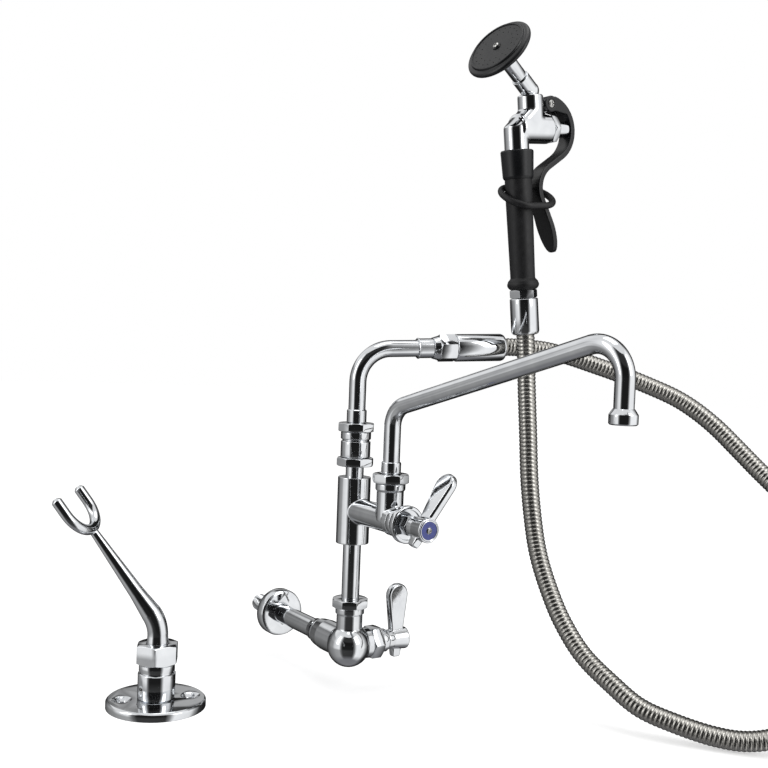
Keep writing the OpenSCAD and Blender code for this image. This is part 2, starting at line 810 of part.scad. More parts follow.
module hose_nut() {
    color("silver") along_run(hose_nut_x) difference() {
        rotate([0, 0, 15]) flats(6, hose_nut_af, hose_nut_l);
        translate([0, 0, -1]) cylinder(d = water_bore_d, h = hose_nut_l + 2);
    }
}

// A sleeve on the hose's end, its far rim drawn in
module end_sleeve(length) {
    lip = 4;
    difference() {
        rotate_extrude() polygon([
            [0, 0], [sleeve_d / 2 - 0.8, 0], [sleeve_d / 2, 0.8], [sleeve_d / 2, length - lip],
            [sleeve_d / 2 - 1, length - lip / 3], [sleeve_d / 2 - 3, length], [0, length]
        ]);
        translate([0, 0, -1]) cylinder(d = water_bore_d, h = length + 2);
        translate([0, 0, length - hose_depth - 1]) cylinder(d = hose_d + 2.2, h = hose_depth + 2);
    }
}
module hose_sleeve() {
    color("silver") along_run(hose_sleeve_x) end_sleeve(hose_sleeve_l);
}

// The hose's centre line, from inside the neck's sleeve to inside the gun's
route = [
    [151, -216, 338], [164, -220, 339], [185, -226, 339], [214, -235, 337], [241, -246, 331],
    [267, -262, 322], [293, -280, 312], [316, -300, 301], [337, -324, 288], [350, -345, 274],
    [361, -367, 256], [369, -390, 235], [375, -414, 214], [379, -440, 194], [381, -467, 173],
    [381, -495, 152], [378, -523, 128], [371, -545, 99], [360, -558, 67], [344, -563, 36],
    [325, -560, 8], [303, -550, -16], [281, -533, -33], [259, -510, -42], [239, -485, -42],
    [216, -453, -35], [197, -422, -25], [187, -391, -8], [180, -354, 14], [176, -325, 43],
    [173, -305, 74], [170, -290, 107], [169, -280, 140], [167, -272, 190], [167, -266, 245],
    [167, -261, 290], [166, -258, 333], [164, -258, 354], [162, -258, 368]
];
hose_sides = 8;
rib_d = hose_d;
rib_root_d = hose_d - 2.6;
bore_rings = 72;

// A point on the smooth curve through the route, with t counted in points
function clamp_at(i) = route[min(max(i, 0), len(route) - 1)];
function curve(t) = let (
    i = min(floor(t), len(route) - 2),
    f = t - i,
    a = clamp_at(i - 1),
    b = clamp_at(i),
    c = clamp_at(i + 1),
    d = clamp_at(i + 2)
) 0.5 * (2 * b + (c - a) * f + (2 * a - 5 * b + 4 * c - d) * f * f + (3 * b - a - 3 * c + d) * f * f * f);
span = len(route) - 1;
fine = 8;
samples = [for (k = [0 : span * fine]) curve(k / fine)];
steps = [for (k = [1 : len(samples) - 1]) norm(samples[k] - samples[k - 1])];
function running(list, k = 0, sum = 0, out = [0]) =
    k == len(list) ? out : running(list, k + 1, sum + list[k], concat(out, [sum + list[k]]));
lengths = running(steps);
hose_length = lengths[len(lengths) - 1];
function place(s, lo, hi) = hi - lo <= 1 ? lo :
    let (mid = floor((lo + hi) / 2)) lengths[mid] <= s ? place(s, mid, hi) : place(s, lo, mid);
function along(s) = let (
    k = place(min(max(s, 0), hose_length), 0, len(lengths) - 1),
    f = (s - lengths[k]) / (lengths[k + 1] - lengths[k])
) curve((k + min(max(f, 0), 1)) / fine);
function heading(s) = let (d = along(min(s + 2, hose_length)) - along(max(s - 2, 0))) d / norm(d);
side_hint = [0.8, 0.55, 0.2];
function hoop(s, d) = let (
    h = heading(s),
    u = cross(h, side_hint) / norm(cross(h, side_hint)),
    v = cross(h, u)
) [for (k = [0 : hose_sides - 1])
    along(s) + d / 2 * (u * cos(k * 360 / hose_sides) + v * sin(k * 360 / hose_sides))];
function wall(first, rings, flip) = [for (r = [0 : rings - 2], k = [0 : hose_sides - 1]) let (
    n = (k + 1) % hose_sides,
    a = first + r * hose_sides + k,
    b = first + r * hose_sides + n,
    c = first + (r + 1) * hose_sides + n,
    d = first + (r + 1) * hose_sides + k
) each flip ? [[a, b, c], [a, c, d]] : [[a, c, b], [a, d, c]]];
function end_faces(outer, inner, flip) = [for (k = [0 : hose_sides - 1]) let (
    n = (k + 1) % hose_sides
) each flip ? [[outer + k, inner + k, inner + n], [outer + k, inner + n, outer + n]]
    : [[outer + k, inner + n, inner + k], [outer + k, outer + n, inner + n]]];

module hose() {
    outer_rings = 2 * rib_count + 1;
    outer = [for (k = [0 : outer_rings - 1])
        each hoop(k * hose_length / (outer_rings - 1), k % 2 == 0 ? rib_root_d : rib_d)];
    inner = [for (k = [0 : bore_rings - 1]) each hoop(k * hose_length / (bore_rings - 1), hose_bore_d)];
    inner_at = len(outer);
    last_outer = (outer_rings - 1) * hose_sides;
    last_inner = inner_at + (bore_rings - 1) * hose_sides;
    color("gray") polyhedron(points = concat(outer, inner), faces = concat(
        wall(0, outer_rings, false), wall(inner_at, bore_rings, true),
        end_faces(0, inner_at, false), end_faces(last_outer, last_inner, true)));
}

module gun_sleeve() {
    color("silver") at_gun() translate([0, 0, gun_sleeve_l]) mirror([0, 0, 1]) end_sleeve(gun_sleeve_l);
}

module gun_nut() {
    color("silver") at_gun() translate([0, 0, gun_sleeve_l + run_gap]) difference() {
        rotate([0, 0, 34]) flats(6, gun_nut_af, gun_nut_l - run_gap);
        translate([0, 0, -1]) cylinder(d = water_bore_d, h = gun_nut_l + 2);
    }
}

// The grip: a straight handle with a flared heel, over the barrel that carries the water
module grip() {
    heel_d = 35.5;
    foot_d = grip_d - 2.4;
    color("black") at_gun() translate([0, 0, heel_z]) difference() {
        rotate_extrude() union() {
            polygon([
                [0, 0], [heel_d / 2 - 3, 0], [heel_d / 2 - 1, heel_l * 0.2], [heel_d / 2 - 1, heel_l * 0.8],
                [foot_d / 2, heel_l + 1], [grip_d / 2, grip_top - heel_z - 22],
                [grip_d / 2, collar_top - heel_z - 3], [0, collar_top - heel_z - 3]
            ]);
            translate([heel_d / 2 - heel_l * 0.42, heel_l * 0.46]) circle(d = heel_l * 0.84);
        }
        translate([0, 0, -1]) cylinder(d = water_bore_d, h = 200);
        translate([0, 0, barrel_foot - heel_z - clear]) cylinder(d = barrel_d - 3 + 2 * clear, h = 100);
    }
}

module grip_collar() {
    height = collar_top - grip_top;
    color("black") at_gun() translate([0, 0, grip_top]) difference() {
        rotate_extrude() polygon([
            [0, 0], [grip_d / 2 + 0.8, 0], [grip_d / 2 + 2, 2.5], [grip_d / 2 + 3.3, height - 1.5],
            [grip_d / 2 + 2.3, height], [0, height]
        ]);
        translate([0, 0, -1]) cylinder(d = grip_d + 2 * clear, h = height - 2);
        translate([0, 0, -1]) cylinder(d = barrel_d + 2 * clear, h = height + 2);
    }
}

// A stretched ring round the grip and the trigger, hanging at a slant
module hold_ring() {
    color("black") at_gun() translate([ring_shift, 0, ring_z]) rotate([ring_tilt, 0, 0]) {
        rotate([0, 0, 90]) rotate_extrude(angle = 180) translate([ring_r, 0]) circle(d = ring_wire);
        translate([ring_span, 0, 0]) rotate([0, 0, -90]) rotate_extrude(angle = 180)
            translate([ring_r, 0]) circle(d = ring_wire);
        for (side = [-1, 1]) translate([0, side * ring_r, 0]) rotate([0, 90, 0])
            cylinder(d = ring_wire, h = ring_span);
    }
}

// The cast body: a barrel, a shoulder to the upper bore, the plunger's boss and the trigger's lug
module gun_body() {
    color("silver") at_gun() difference() {
        union() {
            translate([0, 0, barrel_foot]) cylinder(d = barrel_d - 3, h = barrel_seat - barrel_foot + 1);
            translate([0, 0, barrel_seat]) cylinder(d = barrel_d, h = boss_z - barrel_seat);
            hull() {
                translate([0, 0, boss_z - 2]) cylinder(d = barrel_d, h = 3.5, $fn = 48);
                translate([0.8, 0, boss_z + 2.5]) cylinder(d = barrel_d - 3.4, h = 1.5, $fn = 48);
                translate([upper_offset, 0, boss_z]) cylinder(d = upper_d, h = shoulder_z - boss_z, $fn = 48);
            }
            translate([upper_offset, 0, shoulder_z - 1]) cylinder(d = upper_d, h = body_top - shoulder_z + 1);
            translate([0, 0, boss_z]) rotate([0, 90, 0]) cylinder(d = boss_d, h = boss_end);
            hull() {
                translate([pivot_x, 0, pivot_z]) rotate([90, 0, 0])
                    cylinder(d = lug_d, h = lug_w, center = true, $fn = 48);
                translate([upper_offset + 8, 0, pivot_z - 4]) cube([4, lug_w, 20], center = true);
            }
        }
        translate([0, 0, barrel_foot - 1]) cylinder(d = 12, h = boss_z - barrel_foot + 1);
        translate([0, 0, boss_z]) rotate([0, 90, 0])
            cylinder(d = plunger_neck_d + 2 * run_gap, h = boss_end + 1);
        translate([spring_bed, 0, boss_z]) rotate([0, 90, 0]) cylinder(d = plunger_d + 2, h = boss_end);
        translate([upper_offset, 0, boss_z + 8]) cylinder(d = 12, h = 60);
        translate([pivot_x, 0, pivot_z]) rotate([90, 0, 0])
            cylinder(d = pin_d + 2 * clear, h = lug_w + 2, center = true);
    }
}

module plunger_bonnet() {
    color("silver") at_gun() translate([boss_end, 0, boss_z]) rotate([0, 90, 0]) difference() {
        union() {
            rotate([0, 0, 30]) flats(6, bonnet_flats, plunger_bonnet_l - 1);
            cylinder(d = bonnet_flats - 2, h = plunger_bonnet_l);
        }
        translate([0, 0, -1]) cylinder(d = plunger_d + 2 * run_gap, h = plunger_bonnet_l + 2);
    }
}

// The plunger: a domed button on a thin neck that opens the valve seat
module plunger() {
    button_l = plunger_end - boss_end + 2;
    dome_r = 24;
    color("silver") at_gun() translate([0, 0, boss_z]) rotate([0, 90, 0]) {
        intersection() {
            translate([0, 0, plunger_end - button_l]) cylinder(d = plunger_d, h = button_l);
            translate([0, 0, plunger_end - dome_r]) sphere(r = dome_r);
        }
        translate([0, 0, 12]) cylinder(d = plunger_neck_d, h = plunger_end - button_l - 11.5);
    }
}

// The spring between the boss's bed and the button
module plunger_spring() {
    spring_l = boss_end - 2 - stroke - run_gap - spring_bed - 2 * spring_wire;
    rings = spring_turns * 8;
    sides = 6;
    function point(r, k) = let (
        turn = r * 360 / 8,
        out = spring_d / 2 + spring_wire / 2 * cos(k * 60)
    ) [out * cos(turn), out * sin(turn),
        spring_wire + spring_l * r / rings + spring_wire / 2 * sin(k * 60)];
    points = [for (r = [0 : rings], k = [0 : sides - 1]) point(r, k)];
    skin = [for (r = [0 : rings - 1], k = [0 : sides - 1]) let (
        n = (k + 1) % sides,
        a = r * sides
    ) each [[a + k, a + sides + n, a + n], [a + k, a + sides + k, a + sides + n]]];
    caps = [
        [for (k = [0 : sides - 1]) k],
        [for (k = [0 : sides - 1]) rings * sides + sides - 1 - k]
    ];
    color("silver") at_gun() translate([spring_bed, 0, boss_z]) rotate([0, 90, 0])
        polyhedron(points = points, faces = concat(skin, caps));
}

// One side of the trigger's band, and the band's outline from its two sides
function arc_side(centre, radius, from, to, count) = [for (k = [0 : count])
    let (a = from + (to - from) * k / count) centre + radius * [cos(a), sin(a)]];
arch_centre = [arch_x, arch_z];
slant_end = arch_centre + arch_r * [cos(arch_to), sin(arch_to)] + slant_l * [sin(arch_to), -cos(arch_to)];
waist_centre = slant_end - waist_r * [cos(180 + arch_to), sin(180 + arch_to)];
waist_to = 180 + arch_to + waist_turn;
tail_centre = waist_centre + (waist_r + tail_r) * [cos(waist_to), sin(waist_to)];
function band_side(offset) = concat(
    arc_side(arch_centre, arch_r + offset, arch_from, arch_to, 18),
    arc_side(waist_centre, waist_r - offset, 180 + arch_to, waist_to, 10),
    arc_side(tail_centre, tail_r + offset, waist_to - 180, waist_to - 180 - tail_turn, 5)
);
function reversed(list) = [for (k = [len(list) - 1 : -1 : 0]) list[k]];

// The trigger's outline from the side: a band, and the cheeks between it and the pin
module trigger_profile() {
    polygon(concat(band_side(trigger_t / 2), reversed(band_side(-trigger_t / 2))));
    polygon([
        [pivot_x, pivot_z + pivot_r - 0.1], arch_centre + (arch_r + 2.4) * [cos(62), sin(62)],
        arch_centre + (arch_r + 2.2) * [cos(44), sin(44)], arch_centre + arch_r * [cos(28), sin(28)],
        [pivot_x + 6, pivot_z - pivot_r + 1.2], [pivot_x, pivot_z - pivot_r + 0.1]
    ]);
}

// The same trigger from the back: an even width, then a leaf-shaped tail with a rounded tip
module trigger_front() {
    tip = tail_centre + tail_r * [cos(waist_to - 180 - tail_turn), sin(waist_to - 180 - tail_turn)];
    leaf_l = tail_w * 1.25;
    broad_z = tip[1] + leaf_l;
    flare_z = ring_z - 6;
    translate([-trigger_w / 2, flare_z]) square([trigger_w, pivot_z + 20 - flare_z]);
    polygon(concat(
        [[-trigger_w / 2, flare_z + 1]],
        [for (k = [0 : 14]) [-tail_w / 2 * cos(k * 180 / 14), broad_z - leaf_l * sin(k * 180 / 14)]],
        [[trigger_w / 2, flare_z + 1]]
    ));
}
module trigger() {
    color("black") at_gun() difference() {
        intersection() {
            union() {
                rotate([90, 0, 0]) translate([0, 0, -tail_w / 2 - 1]) linear_extrude(tail_w + 2)
                    trigger_profile();
                translate([pivot_x, 0, pivot_z]) rotate([90, 0, 0])
                    cylinder(r = pivot_r, h = tail_w + 4, center = true);
            }
            rotate([90, 0, 90]) linear_extrude(120) trigger_front();
        }
        translate([pivot_x, 0, pivot_z]) rotate([90, 0, 0]) {
            cylinder(d = pin_d + 2 * clear, h = trigger_w + 2, center = true);
            cylinder(d = lug_d + 2.4, h = cheek_gap, center = true);
            translate([-30, 0, 0]) cube([60, lug_d + 2.4, cheek_gap], center = true);
            translate([0, 0, trigger_w / 2 - 1.6]) cylinder(d = 9.4, h = 3);
        }
        translate([arch_x, 0, arch_z]) rotate([90, 0, 0])
            cylinder(r = arch_r - trigger_t / 2 - lap, h = cheek_gap, center = true);
    }
}

module trigger_pin() {
    head_z = trigger_w / 2 - 1.5;
    color("silver") at_gun() translate([pivot_x, 0, pivot_z]) rotate([90, 0, 0])
        translate([0, 0, head_z]) cross_screw(8.4, 2.2, pin_d, trigger_w - 1.7);
}

// The elbow that leaves the body's top and turns to the spray head
module nozzle_elbow() {
    outer_l = elbow_sleeve_l;
    color("silver") {
        difference() {
            union() {
                at_gun() translate([upper_offset, 0, elbow_z]) sphere(d = elbow_d + 0.5);
                at_nozzle() cylinder(d = elbow_d, h = outer_l);
            }
            at_gun() translate([upper_offset, 0, body_top - 30 + clear])
                cylinder(d = 60, h = 30);
            at_gun() translate([upper_offset, 0, elbow_z]) sphere(d = 13);
            at_gun() translate([upper_offset, 0, body_top - 1]) cylinder(d = 11, h = elbow_z - body_top + 1);
            at_nozzle() cylinder(d = 11, h = outer_l + 1);
            at_nozzle() translate([0, 0, outer_l - 8]) cylinder(d = nozzle_d - 3 + 2 * clear, h = 10);
        }
    }
}

module nozzle_neck() {
    start = elbow_sleeve_l + 0.1;
    color("silver") at_nozzle() difference() {
        union() {
            translate([0, 0, start]) cylinder(d = nozzle_d, h = face_reach - head_t - start - 0.1);
            translate([0, 0, start - 7]) cylinder(d = nozzle_d - 3, h = 8);
        }
        cylinder(d = 9, h = face_reach);
    }
}

// The head: a shallow round bell with a thick bumper and a raised ring round the face
module spray_head() {
    r = head_d / 2;
    color("black") at_nozzle() translate([0, 0, face_reach - head_t]) difference() {
        rotate_extrude() polygon([
            [0, 0], [12, 0], [r * 0.72, head_t * 0.13], [r - 2, head_t * 0.22], [r - 0.6, head_t * 0.32],
            [r, head_t * 0.44], [r, head_t * 0.54], [r - 0.6, head_t * 0.64], [r - 2, head_t * 0.73],
            [r - 4.2, head_t * 0.78], [r - face_rim + 3, head_t * 0.8], [r - face_rim + 2.6, head_t - 0.5],
            [r - face_rim + 2, head_t], [0, head_t]
        ]);
        translate([0, 0, head_t - face_recess]) cylinder(r = r - face_rim, h = face_recess + 1);
        translate([0, 0, 3]) cylinder(r = r * 0.5, h = head_t);
        translate([0, 0, -1]) cylinder(d = 9, h = head_t);
    }
}

// The face plate, with rings of small holes and a low boss under its screw
module spray_face() {
    plate_r = head_d / 2 - face_rim - clear;
    rows = [0.66, 0.86];
    color("black") at_nozzle() translate([0, 0, face_reach - face_recess]) difference() {
        union() {
            cylinder(r = plate_r, h = 1.6);
            cylinder(d1 = 11, d2 = 9.4, h = 2.6);
        }
        translate([0, 0, -1]) cylinder(d = 4 + 2 * clear, h = 6);
        for (row = [0 : len(rows) - 1], k = [0 : 15 + 6 * row])
            rotate([0, 0, k * 360 / (16 + 6 * row)]) translate([plate_r * rows[row], 0, -1])
                cylinder(d = 1.2, h = 4);
    }
}

module face_screw() {
    color("dimgray") at_nozzle() translate([0, 0, face_reach + 0.15]) cross_screw(6.4, 1.8, 4, 6);
}

// The holder's foot: a round plate with two countersunk holes and a turned step
module holder_flange() {
    edge = 1.6;
    color("silver") at_holder(holder_foot) difference() {
        union() {
            cylinder(d = holder_d, h = holder_t - edge);
            translate([0, 0, holder_t - edge]) cylinder(d1 = holder_d, d2 = holder_d - 2 * edge, h = edge);
        }
        for (side = [0, 180]) rotate([0, 0, hole_turn + side]) translate([holder_pcd / 2, 0, 0]) {
            translate([0, 0, -1]) cylinder(d = holder_hole_d, h = holder_t + 2);
            translate([0, 0, holder_t - 3.4]) cylinder(d1 = holder_hole_d, d2 = holder_hole_d + 8, h = 3.5);
        }
        translate([0, 0, -1]) cylinder(d = 12 + 2 * clear, h = holder_t + 2);
    }
}

module holder_collar() {
    total = collar_h2 + neck_gap;
    color("silver") at_holder(holder_top) difference() {
        union() {
            ring(collar_d, 1, collar_h2);
            cylinder(d = collar_d - 3.4, h = total);
            translate([0, 0, collar_h2 + 1.6]) cylinder(d = collar_d - 1.4, h = neck_gap - 2.4);
            translate([0, 0, -holder_t + 1]) cylinder(d = 12, h = holder_t);
        }
        translate([0, 0, 3]) cylinder(d = rod_bore_d + 2 * clear, h = total);
        translate([0, 0, 9]) rotate([0, 90, -166]) cylinder(d = 4 + 2 * clear, h = collar_d);
    }
}

module holder_set_screw() {
    color("dimgray") at_holder(holder_top + 9) rotate([0, 90, -166])
        translate([0, 0, rod_bore_d / 2 + 0.2]) difference() {
            cylinder(d = 4, h = collar_d / 2 - rod_bore_d / 2 - 0.8);
            translate([0, 0, 6]) cylinder(d = 2.2, h = 6, $fn = 6);
        }
}

module holder_nut() {
    color("silver") at_holder(holder_nut_z) difference() {
        rotate([0, 0, 3]) flats(6, holder_nut_af, holder_nut_h);
        translate([0, 0, -1]) cylinder(d = rod_bore_d + 2 * run_gap, h = holder_nut_h + 2);
        translate([0, 0, holder_nut_h - 5]) cylinder(d = rod_d + 2 * run_gap, h = 6);
    }
}

// The fork: a peg in the collar, a rod that bends over and thins, and a U of two prongs
module fork() {
    peg_foot = holder_top + 3.4;
    shoulder = holder_nut_z + holder_nut_h - 4.6;
    u_r = (fork_gap + prong_d) / 2;
    knee_x = rod_bend * (1 - cos(fork_lean));
    knee_z = rod_bend * sin(fork_lean);
    color("silver") {
        at_holder(peg_foot) cylinder(d = rod_bore_d, h = shoulder - peg_foot + 1);
        at_holder(shoulder) cylinder(d = rod_d, h = rod_knee - shoulder - 6);
        at_holder(rod_knee - 6) cylinder(d1 = rod_d, d2 = rod_mid_d - slip, h = 6 + lap);
        at_holder(rod_knee) rotate([0, 0, fork_turn]) {
            translate([rod_bend, 0, 0]) rotate([90, 0, 0]) rotate([0, 0, 180 - fork_lean])
                rotate_extrude(angle = fork_lean) translate([rod_bend, 0]) circle(d = rod_mid_d);
            translate([knee_x, 0, knee_z]) rotate([0, fork_lean, 0]) {
                translate([0, 0, -lap])
                    cylinder(d1 = rod_mid_d - slip, d2 = rod_waist_d, h = rod_waist_l + lap);
                translate([0, 0, rod_waist_l])
                    cylinder(d1 = rod_waist_d, d2 = prong_d * 0.76, h = rod_l - rod_waist_l);
                rotate([0, 0, fork_twist]) {
                    translate([0, 0, rod_l + u_r]) rotate([0, 90, 0]) rotate([0, 0, -90])
                        rotate_extrude(angle = 180) translate([u_r, 0]) circle(d = prong_d);
                    for (side = [-1, 1]) translate([0, side * u_r, rod_l + u_r]) {
                        cylinder(d = prong_d, h = prong_l);
                        translate([0, 0, prong_l]) cylinder(d1 = prong_d, d2 = prong_d / 2, h = prong_d / 4);
                    }
                }
            }
        }
    }
}

supply_pipe();
wall_flange();
inlet_coupling();
valve_body();
lower_bonnet();
lower_lock_ring();
lower_cartridge();
lower_stem();
lower_lever();
lower_index();
lower_lever_screw();
riser_nut();
riser_pipe();
tee_body();
branch_bonnet();
packing_nut();
upper_cartridge();
upper_stem();
upper_lever();
upper_index();
upper_lever_screw();
spout_nut();
spout_tube();
spout_ferrule();
spout_seal();
outlet_collar();
flow_straightener();
column_nipple();
column_nut();
swivel_body();
neck_seal();
neck_nut();
neck_tube();
neck_ferrules();
hose_adaptor();
hose_nut();
hose_sleeve();
hose();
gun_sleeve();
gun_nut();
grip();
grip_collar();
hold_ring();
gun_body();
plunger_bonnet();
plunger();
plunger_spring();
trigger();
trigger_pin();
nozzle_elbow();
nozzle_neck();
spray_head();
spray_face();
face_screw();
holder_flange();
holder_collar();
holder_set_screw();
holder_nut();
fork();
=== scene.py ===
"""Looks of the wall-mounted faucet with its hose, spray gun and fork holder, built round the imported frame."""

import json
import math

import bmesh
import bpy
from mathutils import Matrix, Vector

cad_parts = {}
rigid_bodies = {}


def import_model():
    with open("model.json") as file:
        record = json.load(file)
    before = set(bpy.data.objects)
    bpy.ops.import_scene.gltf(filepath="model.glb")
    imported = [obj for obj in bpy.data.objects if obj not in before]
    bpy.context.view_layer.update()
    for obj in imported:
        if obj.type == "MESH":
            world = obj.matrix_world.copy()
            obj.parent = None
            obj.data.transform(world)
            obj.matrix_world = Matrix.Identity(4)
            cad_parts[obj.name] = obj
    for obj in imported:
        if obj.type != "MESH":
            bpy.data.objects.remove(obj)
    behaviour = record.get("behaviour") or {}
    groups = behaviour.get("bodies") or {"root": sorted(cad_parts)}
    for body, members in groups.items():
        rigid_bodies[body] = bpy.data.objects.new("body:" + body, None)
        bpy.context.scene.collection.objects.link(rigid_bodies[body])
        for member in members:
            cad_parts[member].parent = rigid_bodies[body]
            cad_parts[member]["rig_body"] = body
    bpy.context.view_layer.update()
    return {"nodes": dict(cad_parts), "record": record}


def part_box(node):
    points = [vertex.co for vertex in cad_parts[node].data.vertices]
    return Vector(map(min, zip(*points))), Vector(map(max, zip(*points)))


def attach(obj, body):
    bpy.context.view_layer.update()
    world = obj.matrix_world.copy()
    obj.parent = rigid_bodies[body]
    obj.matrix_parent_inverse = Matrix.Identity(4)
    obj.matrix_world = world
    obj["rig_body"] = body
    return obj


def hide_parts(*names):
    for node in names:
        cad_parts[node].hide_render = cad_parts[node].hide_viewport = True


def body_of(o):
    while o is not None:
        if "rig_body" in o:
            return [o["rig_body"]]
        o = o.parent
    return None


bl_info = {
    "name": "Commercial faucet",
    "version": (1, 0, 0),
    "blender": (4, 5, 0),
    "location": "View3D > Sidebar > Faucet",
    "description": "Builds the faucet's pieces, finishes and studio round its packed frame",
    "category": "Add Mesh",
}

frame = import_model()
SLOTS = {s["node"]: s["material_slot"] for s in frame["record"]["subparts"]}
MM = 0.001

# The frame's pieces that come off a lathe or a mill, with edges that are only broken
TURNED = (
    "wall_flange", "inlet_coupling", "lower_bonnet", "lower_lock_ring", "riser_nut", "branch_bonnet",
    "packing_nut", "spout_nut", "spout_ferrule", "outlet_collar", "column_nut", "swivel_body", "neck_nut",
    "hose_adaptor", "hose_nut", "hose_sleeve", "gun_sleeve", "gun_nut", "plunger_bonnet", "nozzle_neck",
    "holder_flange", "holder_collar", "holder_nut",
)

# The hose's centreline in millimetres, from the neck's sleeve down, round and up into the gun's sleeve
HOSE_ROUTE = [
    (151, -216, 338), (164, -220, 339), (185, -226, 339), (214, -235, 337), (241, -246, 331),
    (267, -262, 322), (293, -280, 312), (316, -300, 301), (337, -324, 288), (350, -345, 274),
    (361, -367, 256), (369, -390, 235), (375, -414, 214), (379, -440, 194), (381, -467, 173),
    (381, -495, 152), (378, -523, 128), (371, -545, 99), (360, -558, 67), (344, -563, 36),
    (325, -560, 8), (303, -550, -16), (281, -533, -33), (259, -510, -42), (239, -485, -42),
    (216, -453, -35), (197, -422, -25), (187, -391, -8), (180, -354, 14), (176, -325, 43),
    (173, -305, 74), (170, -290, 107), (169, -280, 140), (167, -272, 190), (167, -266, 245),
    (167, -261, 290), (166, -258, 333), (164, -258, 354), (162, -258, 368),
]

# The swing spout's centreline in millimetres and degrees: the axis that it stands on and its turn about it,
# the heights of its foot, of the corner between its foot and its long run and of its outlet, and its bends
SPOUT_AXIS, SPOUT_TURN = (0, -242), -82
SPOUT_FOOT, SPOUT_CORNER, SPOUT_END = 186, 270, 279.4
SPOUT_LOW_BEND, SPOUT_TOP_BEND = 25, 30

# The neck's centreline: up from its foot, over in one bend and out
NECK_AXIS, NECK_TURN = (0, -170), -17
NECK_FOOT, NECK_TOP = 231.7, 294.8
NECK_BEND, NECK_BEND_TURN, NECK_RUN = 38, 87.5, 54

# Outside radii and bores in millimetres
SPOUT_RADIUS, NECK_RADIUS, TUBE_BORE = 9, 9.5, 15
HOSE_BORE = 13
PIPE_RADIUS, PIPE_BORE = 11.3, 15.8

# The supply pipe in millimetres from the wall's face: the ends of its tail and its front, and the tail's
# thread, which has 14 turns to the inch
PIPE_TAIL, PIPE_FRONT = 50, -108
THREAD_CREST, THREAD_DEPTH, THREAD_PITCH = 10.45, 0.9, 1.814

# The section of an index disc's rim, half round: in from the disc's edge, and up from its face
RIM_SECTION = ((0, -0.3), (0, 0.1), (0.35, 0.36), (0.75, 0.42), (1.15, 0.3), (1.45, 0.04), (1.45, -0.3))


# Colours and node trees


def linear(colour):
    """An sRGB colour, in hex or as a grey from 0 to 1, in the linear values that a shader takes."""
    if isinstance(colour, str):
        parts = [int(colour[i : i + 2], 16) / 255 for i in (1, 3, 5)]
    else:
        parts = [colour] * 3
    return [c / 12.92 if c <= 0.04045 else ((c + 0.055) / 1.055) ** 2.4 for c in parts] + [1.0]


def add(tree, kind, links=None, stops=(), **settings):
    """A node of that kind with its settings, and links from {its socket: another node's output}. A setting
    named in_X is the value of socket X, and stops are a colour ramp's [(place, linear colour), ...]."""
    node = tree.nodes.new(kind)
    for key, value in settings.items():
        if key.startswith("in_"):
            name = key[3:]
            socket = node.inputs[int(name)] if name.isdigit() else node.inputs[name.replace("_", " ")]
            socket.default_value = value
        else:
            setattr(node, key, value)
    for name, output in (links or {}).items():
        tree.links.new(output, node.inputs[name])
    if stops:
        band = node.color_ramp.elements
        for _ in stops[2:]:
            band.new(0.5)
        for element, (place, colour) in zip(band, stops):
            element.position = place
            element.color = colour
    return node


def empty_tree(owner):
    """The cleared node tree of a material or a world."""
    owner.use_nodes = True
    owner.node_tree.nodes.clear()
    return owner.node_tree


def colours():
    """The colours that the panel shows."""
    return bpy.context.scene.faucet_finishes


# Finishes

# Noise keeps mostly between these two values, so the ends of what it drives are put there
NOISE_LOW, NOISE_HIGH = 0.3, 0.7


def new_finish(name, **shader_settings):
    """An empty material with its shader and output, and a place in the object's own metres."""
    finish = bpy.data.materials.new(name)
    tree = empty_tree(finish)
    shader = add(tree, "ShaderNodeBsdfPrincipled", **shader_settings)
    add(tree, "ShaderNodeOutputMaterial", {"Surface": shader.outputs["BSDF"]})
    place = add(tree, "ShaderNodeTexCoord").outputs["Object"]
    return finish, tree, shader, place


def grain(tree, place, size_mm, detail=3.0, stretch=(1, 1, 1)):
    """Soft noise whose patches are size_mm across, drawn out along an axis where stretch is under 1."""
    scaled = add(tree, "ShaderNodeVectorMath", {0: place}, operation="MULTIPLY", in_1=stretch)
    scale = 1000 / size_mm
    noise = add(tree, "ShaderNodeTexNoise", {"Vector": scaled.outputs[0]}, in_Scale=scale, in_Detail=detail)
    return noise.outputs["Fac"]


def surface(tree, shader, tones, gloss, marks):
    """Patterns drive the shader: tones are (pattern, colour at its low end, colour at its high end), gloss is
    (pattern, least roughness, most roughness), and marks are (pattern, depth in millimetres)."""
    pattern, low, high = tones
    colour = add(tree, "ShaderNodeValToRGB", {"Fac": pattern}, [(NOISE_LOW, low), (NOISE_HIGH, high)])
    tree.links.new(colour.outputs["Color"], shader.inputs["Base Color"])

    pattern, least, most = gloss
    ends = {"in_From_Min": NOISE_LOW, "in_From_Max": NOISE_HIGH, "in_To_Min": least, "in_To_Max": most}
    roughness = add(tree, "ShaderNodeMapRange", {"Value": pattern}, **ends)
    tree.links.new(roughness.outputs["Result"], shader.inputs["Roughness"])

    pattern, depth_mm = marks
    bump = add(tree, "ShaderNodeBump", {"Height": pattern}, in_Strength=1.0, in_Distance=depth_mm * MM)
    tree.links.new(bump.outputs["Normal"], shader.inputs["Normal"])


